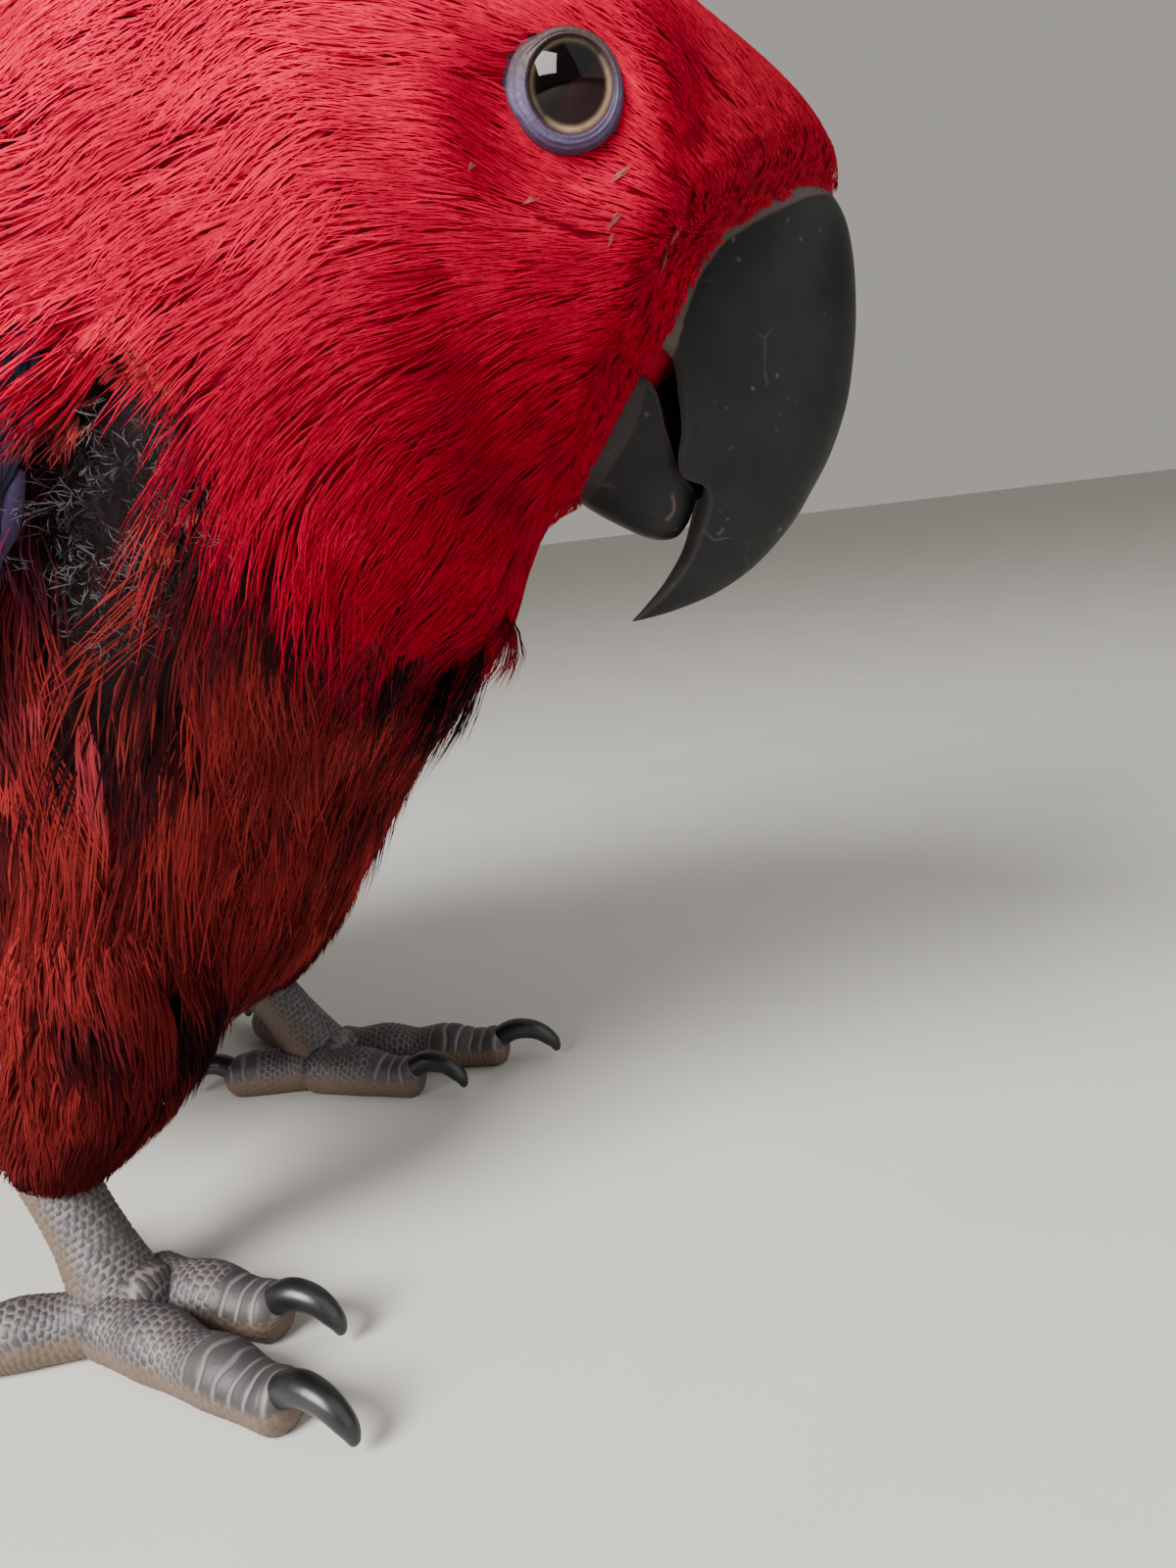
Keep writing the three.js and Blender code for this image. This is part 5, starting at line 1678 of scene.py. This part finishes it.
def vane_finish(name):
    """The stored colour, ribbed by barbs that slant out toward the tip from a dark shaft."""
    material, tree, shader = new_finish(name)
    across, along, _ = lie_of(tree)
    out = figured(tree, "ABSOLUTE", across)
    run = figured(tree, "SUBTRACT", figured(tree, "MULTIPLY", along, BARB_SLANT), out)
    run = figured(tree, "MULTIPLY_ADD", noise(tree, 260, 3), BARB_WOBBLE, run)
    wave = figured(tree, "SINE", figured(tree, "MULTIPLY", run, BARB_BEAT))
    barbs = from_zero(tree, wave)
    streak = ramp(tree, barbs, [(0.0, 0.6), (0.6, 1.0)])
    shade = blended(tree, 1.0, stored(tree, "shade")["Color"], streak, "MULTIPLY")
    shaft = ramp(tree, out, [(0.12, 0.7), (0.3, 0.0)])
    finish_shader(tree, shader, blended(tree, shaft, shade, SHAFT_BROWN), 0.5, 0.2)
    add_bump(tree, shader, barbs, 0.35, 0.00015)
    return material


vane_material = vane_finish("vaned feathers")
for side_name, side in SIDES.items():
    wing = make_wing(side, side_name, vane_material, 300 + side)
    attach(wing, "root")
    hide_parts(f"wing_{side_name}")

# The tail is twelve long feathers in a flat stack, with soft coverts over and under its root.
# They are dull red and end in orange, and the lowest tips rest on the floor.
TAIL_ROOT = np.array([-99.0, 0.0, 37.5])
TAIL_LENGTH = 108.0
TAIL_PAIRS = 6
TAIL_PITCH = 0.9
TAIL_HALF = 7.6
COVERT_ROWS, COVERTS_A_ROW = 4, 9
COVERT_LENGTH = 24.0
TAIL_RED = np.array([0.20, 0.010, 0.012])
TAIL_ORANGE = np.array([0.55, 0.10, 0.015])
COVERT_RED = np.array([0.42, 0.03, 0.014])


def tail_edge(root, tip, sag, roof):
    """How a tail vane lies: straight from root to tip but for a sag, and sloped outward."""
    root, tip = np.array(root, float), np.array(tip, float)
    outward = -1 if tip[1] < 0 else 1

    def edge(t, across, height):
        point = root + (tip - root) * t[..., None]
        lift = height - sag * np.sin(math.pi * t) - roof * across * outward
        return point + np.stack([np.zeros_like(t), across, lift], axis=-1)
    return edge


def lay_tail_feathers(pile, chance):
    """Twelve long vanes, stacked with the middle pair on top and fanned out at their tips."""
    for side in SIDES.values():
        for i in range(TAIL_PAIRS):
            level = TAIL_PAIRS if i == 0 and side == RIGHT else TAIL_PAIRS - 1 - i
            root = TAIL_ROOT + (0, side * (1.5 if i == 0 else 5 + i * 0.5), level * TAIL_PITCH - 3)
            out = 3.4 if i == 0 else 12 + 2.2 * (i - 1)
            tip = (TAIL_ROOT[0] - TAIL_LENGTH + 1.5 * i, side * out, 0.45 + level * TAIL_PITCH)
            made = vane_grid(tail_edge(root, tip, 1.5, 0.03), TAIL_HALF, 0.4, 34, 11, chance)
            shade = wing_shade(made[3], TAIL_RED, TAIL_ORANGE, TAIL_RED * 0.7, chance)
            pile.add(made, shade, (0.5 + 0.4 * side * (i + 1) / TAIL_PAIRS, 0.2))


def lay_tail_coverts(pile, over, chance):
    """Four rows of short vanes over or under the tail's root."""
    outward = 1 if over else -1
    top, rise, slope = (3.8, -0.4, -0.36) if over else (-6.5, 0.3, -0.28)
    near = MAROON * 1.4 if over else COVERT_RED
    for row in range(COVERT_ROWS):
        for i in range(COVERTS_A_ROW):
            place = (i + 0.5 * (row % 2)) / (COVERTS_A_ROW - 0.5) * 2 - 1
            back = 8 + row * 9 + chance.uniform(-1, 1)
            high = top + row * rise - abs(place) * 2.0 * outward
            root = TAIL_ROOT + (-back + 14, place * 8.5, high)
            tip = root + (-COVERT_LENGTH, place * 3.0, COVERT_LENGTH * slope)
            made = vane_grid(tail_edge(root, tip, 0.8, 0.0), 4.6, 0.3, 12, 7, chance)
            shade = wing_shade(made[3], near, near * 1.3, near * 0.7, chance)
            pile.add(made, shade, (0.5 + place * 0.3, 0.6 if over else 0.8))


def make_tail(material):
    chance = np.random.default_rng(400)
    pile = Pile()
    lay_tail_feathers(pile, chance)
    lay_tail_coverts(pile, True, chance)
    lay_tail_coverts(pile, False, chance)
    return pile.piece("tail_feathers", material)


tail = make_tail(vane_material)
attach(tail, "root")
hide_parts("tail")

# The feet are bare skin set with small six-sided scales, which turn to cross plates toward
# the claws. Two toes point forward and two back, and the claws are black horn hooks.
FEET = {
    "right": dict(side=RIGHT, ankle=(-2, -28, 19), foot=(7, -30, 0)),
    "left": dict(side=LEFT, ankle=(-14, 27, 19), foot=(-5, 29, 0)),
}
TOES = {
    "hallux": dict(reach=14, claw=5.5, heading=-160, offset=-2.8),
    "inner": dict(reach=18.5, claw=6, heading=2, offset=-3.5),
    "outer": dict(reach=28, claw=7, heading=12, offset=3.5),
    "rear": dict(reach=25, claw=6.5, heading=150, offset=2.8),
}
TARSUS_RADIUS = 3.9
TOE_RADIUS = 3.7
TOE_START = 3.2
CLAW_ROOT = 3.4
CLAW_ARCH = [(0, 3.4), (0.34, 5.2), (0.68, 5), (0.92, 3.2), (0.98, 1.4)]
CLAW_RADII = [1.75, 1.75, 1.5, 1.1, 0.45]
FLOOR_DIP = 0.35
SCALE_PITCH, SCALE_RELIEF = 0.8, 0.17
SCALE_BREADTH = SCALE_PITCH * 1.15
PLATE_PITCH = 2.1
LIMB_ROUNDING = 0.75
FLOOR_CLEAR = 0.02


def limb_rings(line, radii, rows, columns):
    """Rings along a limb, with its length and girth in millimetres at each point."""
    line, radii = np.array(line, float), np.array(radii, float)
    t = np.linspace(0, len(line) - 1, rows)
    centre = smooth(line, t)
    run = unit(np.gradient(centre, axis=0))
    across = unit(np.cross([0.0, 1.0, 0.0], run))
    over = np.cross(run, across)
    length = np.concatenate([[0], np.cumsum(np.linalg.norm(np.diff(centre, axis=0), axis=1))])
    radius = smooth(radii, t * (len(radii) - 1) / (len(line) - 1))
    end = np.minimum(length, length[-1] - length)
    taper = np.clip(end / (LIMB_ROUNDING * radius), 0.02, 1)
    radius = radius * np.sqrt(taper * (2 - taper))
    angle = np.linspace(0, 2 * math.pi, columns, endpoint=False)
    way = across[:, None] * np.cos(angle)[:, None] + over[:, None] * np.sin(angle)[:, None]
    return centre[:, None], way, radius[:, None, None], length[:, None], angle[None]


def scale_height(along, around, banded):
    """How high the skin stands: domes in staggered rows, or cross plates where banded is 1."""
    row = np.round(along / SCALE_PITCH)
    shift = (row % 2) * 0.5
    column = np.round(around / SCALE_BREADTH - shift) + shift
    du = along / SCALE_PITCH - row
    dv = around / SCALE_BREADTH - column
    away = np.maximum(np.abs(dv) * 1.9, np.abs(du) * 1.7 + np.abs(dv) * 0.55)
    dome = 1 - spread(0.55, 1.0, away)
    plate = 1 - spread(0.62, 0.95, np.abs(along / PLATE_PITCH - np.round(along / PLATE_PITCH)) * 2)
    return dome * (1 - banded) + plate * banded


def scaled_limb(name, line, radii, rows, columns, seed, banding, material):
    """A limb under scales, with cross plates on top beyond a share of its length."""
    centre, way, radius, length, angle = limb_rings(line, radii, rows, columns)
    rough = centre + way * radius
    wobble = 0.2 * mottle(rough.reshape(-1, 3), 4, seed).reshape(rough.shape[:2])
    along = length + wobble
    around = angle * radius.mean() + wobble
    total = length.max()
    overhead = way[..., 2]
    banded = spread(banding, banding + 0.12, along / total) * spread(0.0, 0.4, overhead)
    dome = scale_height(along, around, banded)
    points = rough + way * (SCALE_RELIEF * (dome - 0.6))[..., None]
    points[..., 2] = np.maximum(points[..., 2], FLOOR_CLEAR)
    points, quads, triangles = closed_tube(points)
    piece = make_piece(name, points, quads, triangles, material)
    face_outward(piece)
    lie = np.stack([dome, np.broadcast_to(along / total, dome.shape), overhead], axis=-1).reshape(-1, 3)
    set_values(piece, "lie", np.concatenate([lie, [[0.5, 0, 0]], [[0.5, 1, 0]]]))
    return piece


SOLE_BROWN = (0.13, 0.085, 0.055)
PLAIN_GLOSS = 0.5


def scale_finish():
    """Grey-black scales in paler grooves, browner under the foot."""
    material, tree, shader = new_finish("foot scales")
    dome, _, overhead = lie_of(tree)
    tone = ramp(tree, noise(tree, 260, 3), [
        (0.32, (0.028, 0.026, 0.030)), (0.68, (0.056, 0.047, 0.047))])
    net = ramp(tree, noise(tree, 180, 3), [
        (0.35, (0.105, 0.095, 0.102)), (0.65, (0.165, 0.135, 0.128))])
    colour = blended(tree, ramp(tree, dome, [(0.25, 0.0), (0.8, 1.0)]), net, tone)
    under = ramp(tree, overhead, [(0.0, 0.75), (0.35, 0.0)])
    finish_shader(tree, shader, blended(tree, under, colour, SOLE_BROWN), 0.55, PLAIN_GLOSS)
    add_bump(tree, shader, noise(tree, 2400, 4), 0.3, 0.00012)
    return material


def claw_finish():
    material, tree, shader = new_finish("claw horn")
    tone = ramp(tree, noise(tree, 320, 4), [
        (0.35, (0.006, 0.006, 0.007)), (0.75, (0.018, 0.019, 0.021))])
    finish_shader(tree, shader, tone, 0.32, PLAIN_GLOSS)
    add_bump(tree, shader, noise(tree, 900, 4), 0.25, 0.0001)
    return material


def heading_of(side, heading):
    """The way along the floor that a toe points, in degrees outward from straight ahead."""
    return np.array([math.cos(math.radians(heading)), side * math.sin(math.radians(heading)), 0])


def toe_root(foot, toe):
    ahead = math.copysign(TOE_START / 2, math.cos(math.radians(toe["heading"])))
    return np.array(foot["foot"], float) + (ahead, foot["side"] * toe["offset"], 0)


def make_toe(name, foot, toe, seed, material):
    way = heading_of(foot["side"], toe["heading"])
    joints = round(toe["reach"] / 5)
    line, radii = [], []
    for i in range(joints + 1):
        t = i / joints
        radius = TOE_RADIUS * (1.05 - 0.22 * t) + (-0.2 if i % 2 else 0.2)
        run = -2.5 + (toe["reach"] + 1.6) * t
        line.append(toe_root(foot, toe) + way * run + (0, 0, radius - FLOOR_DIP))
        radii.append(radius)
    rows = int(toe["reach"] * 5.5)
    return scaled_limb(name, line, radii, rows, 96, seed, 0.55, material)


def make_claw(name, foot, toe, material):
    way = heading_of(foot["side"], toe["heading"])
    base = toe_root(foot, toe) + way * (toe["reach"] - CLAW_ROOT)
    line = [base * (1, 1, 0) + way * t * (toe["claw"] + CLAW_ROOT) + (0, 0, z) for t, z in CLAW_ARCH]
    centre, side_way, radius, _, _ = limb_rings(line, CLAW_RADII, 44, 28)
    groove = 1 - 0.16 * spread(-0.5, -1.0, side_way[..., 2])
    points = centre + side_way * radius * groove[..., None]
    points, quads, triangles = closed_tube(points)
    claw = make_piece(name, points, quads, triangles, material)
    face_outward(claw)
    return claw


scale_material, claw_material = scale_finish(), claw_finish()
for foot_name, foot in FEET.items():
    sole = np.array(foot["foot"], float) + (0, 0, TARSUS_RADIUS + 0.3)
    ankle = np.array(foot["ankle"], float)
    shank = scaled_limb(
        f"shank_scales_{foot_name}",
        [ankle + (-1, 0, 5), ankle, (ankle + sole) / 2,
         sole, sole + (3.2, 0, -0.5), sole + (5.6, 0, -1.9)],
        [4.2, 4.0, 3.9, 4.9, 4.3, 1.2], 170, 110, 500 + foot["side"], 2.0, scale_material)
    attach(shank, "root")
    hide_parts(f"tarsus_{foot_name}")
    for number, (toe_name, toe) in enumerate(TOES.items()):
        made = make_toe(f"toe_scales_{toe_name}_{foot_name}", foot, toe, 510 + number, scale_material)
        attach(made, "root")
        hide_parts(f"toe_{toe_name}_{foot_name}")
        claw = make_claw(f"claw_horn_{toe_name}_{foot_name}", foot, toe, claw_material)
        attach(claw, "root")
        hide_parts(f"claw_{toe_name}_{foot_name}")

# The floor is plain and pale. A large soft light stands high on the left, behind the camera,
# with a weak one high on its right and a pale room all round.
FLOOR_HALF = 12.0


def make_floor():
    mesh = bpy.data.meshes.new("floor")
    corners = [(-FLOOR_HALF, -FLOOR_HALF, 0), (FLOOR_HALF, -FLOOR_HALF, 0),
               (FLOOR_HALF, FLOOR_HALF, 0), (-FLOOR_HALF, FLOOR_HALF, 0)]
    mesh.from_pydata(corners, [], [(0, 1, 2, 3)])
    floor = bpy.data.objects.new("floor", mesh)
    bpy.context.scene.collection.objects.link(floor)
    material, tree, shader = new_finish("pale floor")
    tone = ramp(tree, noise(tree, 30, 3), [
        (0.3, (0.54, 0.527, 0.495)), (0.7, (0.57, 0.556, 0.525))])
    finish_shader(tree, shader, tone, 0.8, PLAIN_GLOSS)
    mesh.materials.append(material)


def add_light(name, at, toward, size, power, colour):
    data = bpy.data.lights.new(name, "AREA")
    data.size = size
    data.energy = power
    data.color = colour
    light = bpy.data.objects.new(name, data)
    place, aim = in_frame(np.array(at, float)), in_frame(np.array(toward, float))
    back = unit(place - aim)
    right = unit(np.cross([0.0, 0.0, 1.0], back))
    stand_at(light, place, right, np.cross(back, right), back)


make_floor()
add_light("main", (-180, -590, 470), (40, -10, 80), 0.38, 17.0, (1.0, 0.98, 0.95))
add_light("fill", (600, -200, 500), (40, 0, 70), 0.9, 3.0, (0.95, 0.98, 1.0))
world = bpy.data.worlds.new("pale room")
world.use_nodes = True
room = world.node_tree.nodes["Background"]
room.inputs["Color"].default_value = (0.64, 0.61, 0.56, 1)
room.inputs["Strength"].default_value = 0.6
bpy.context.scene.world = world
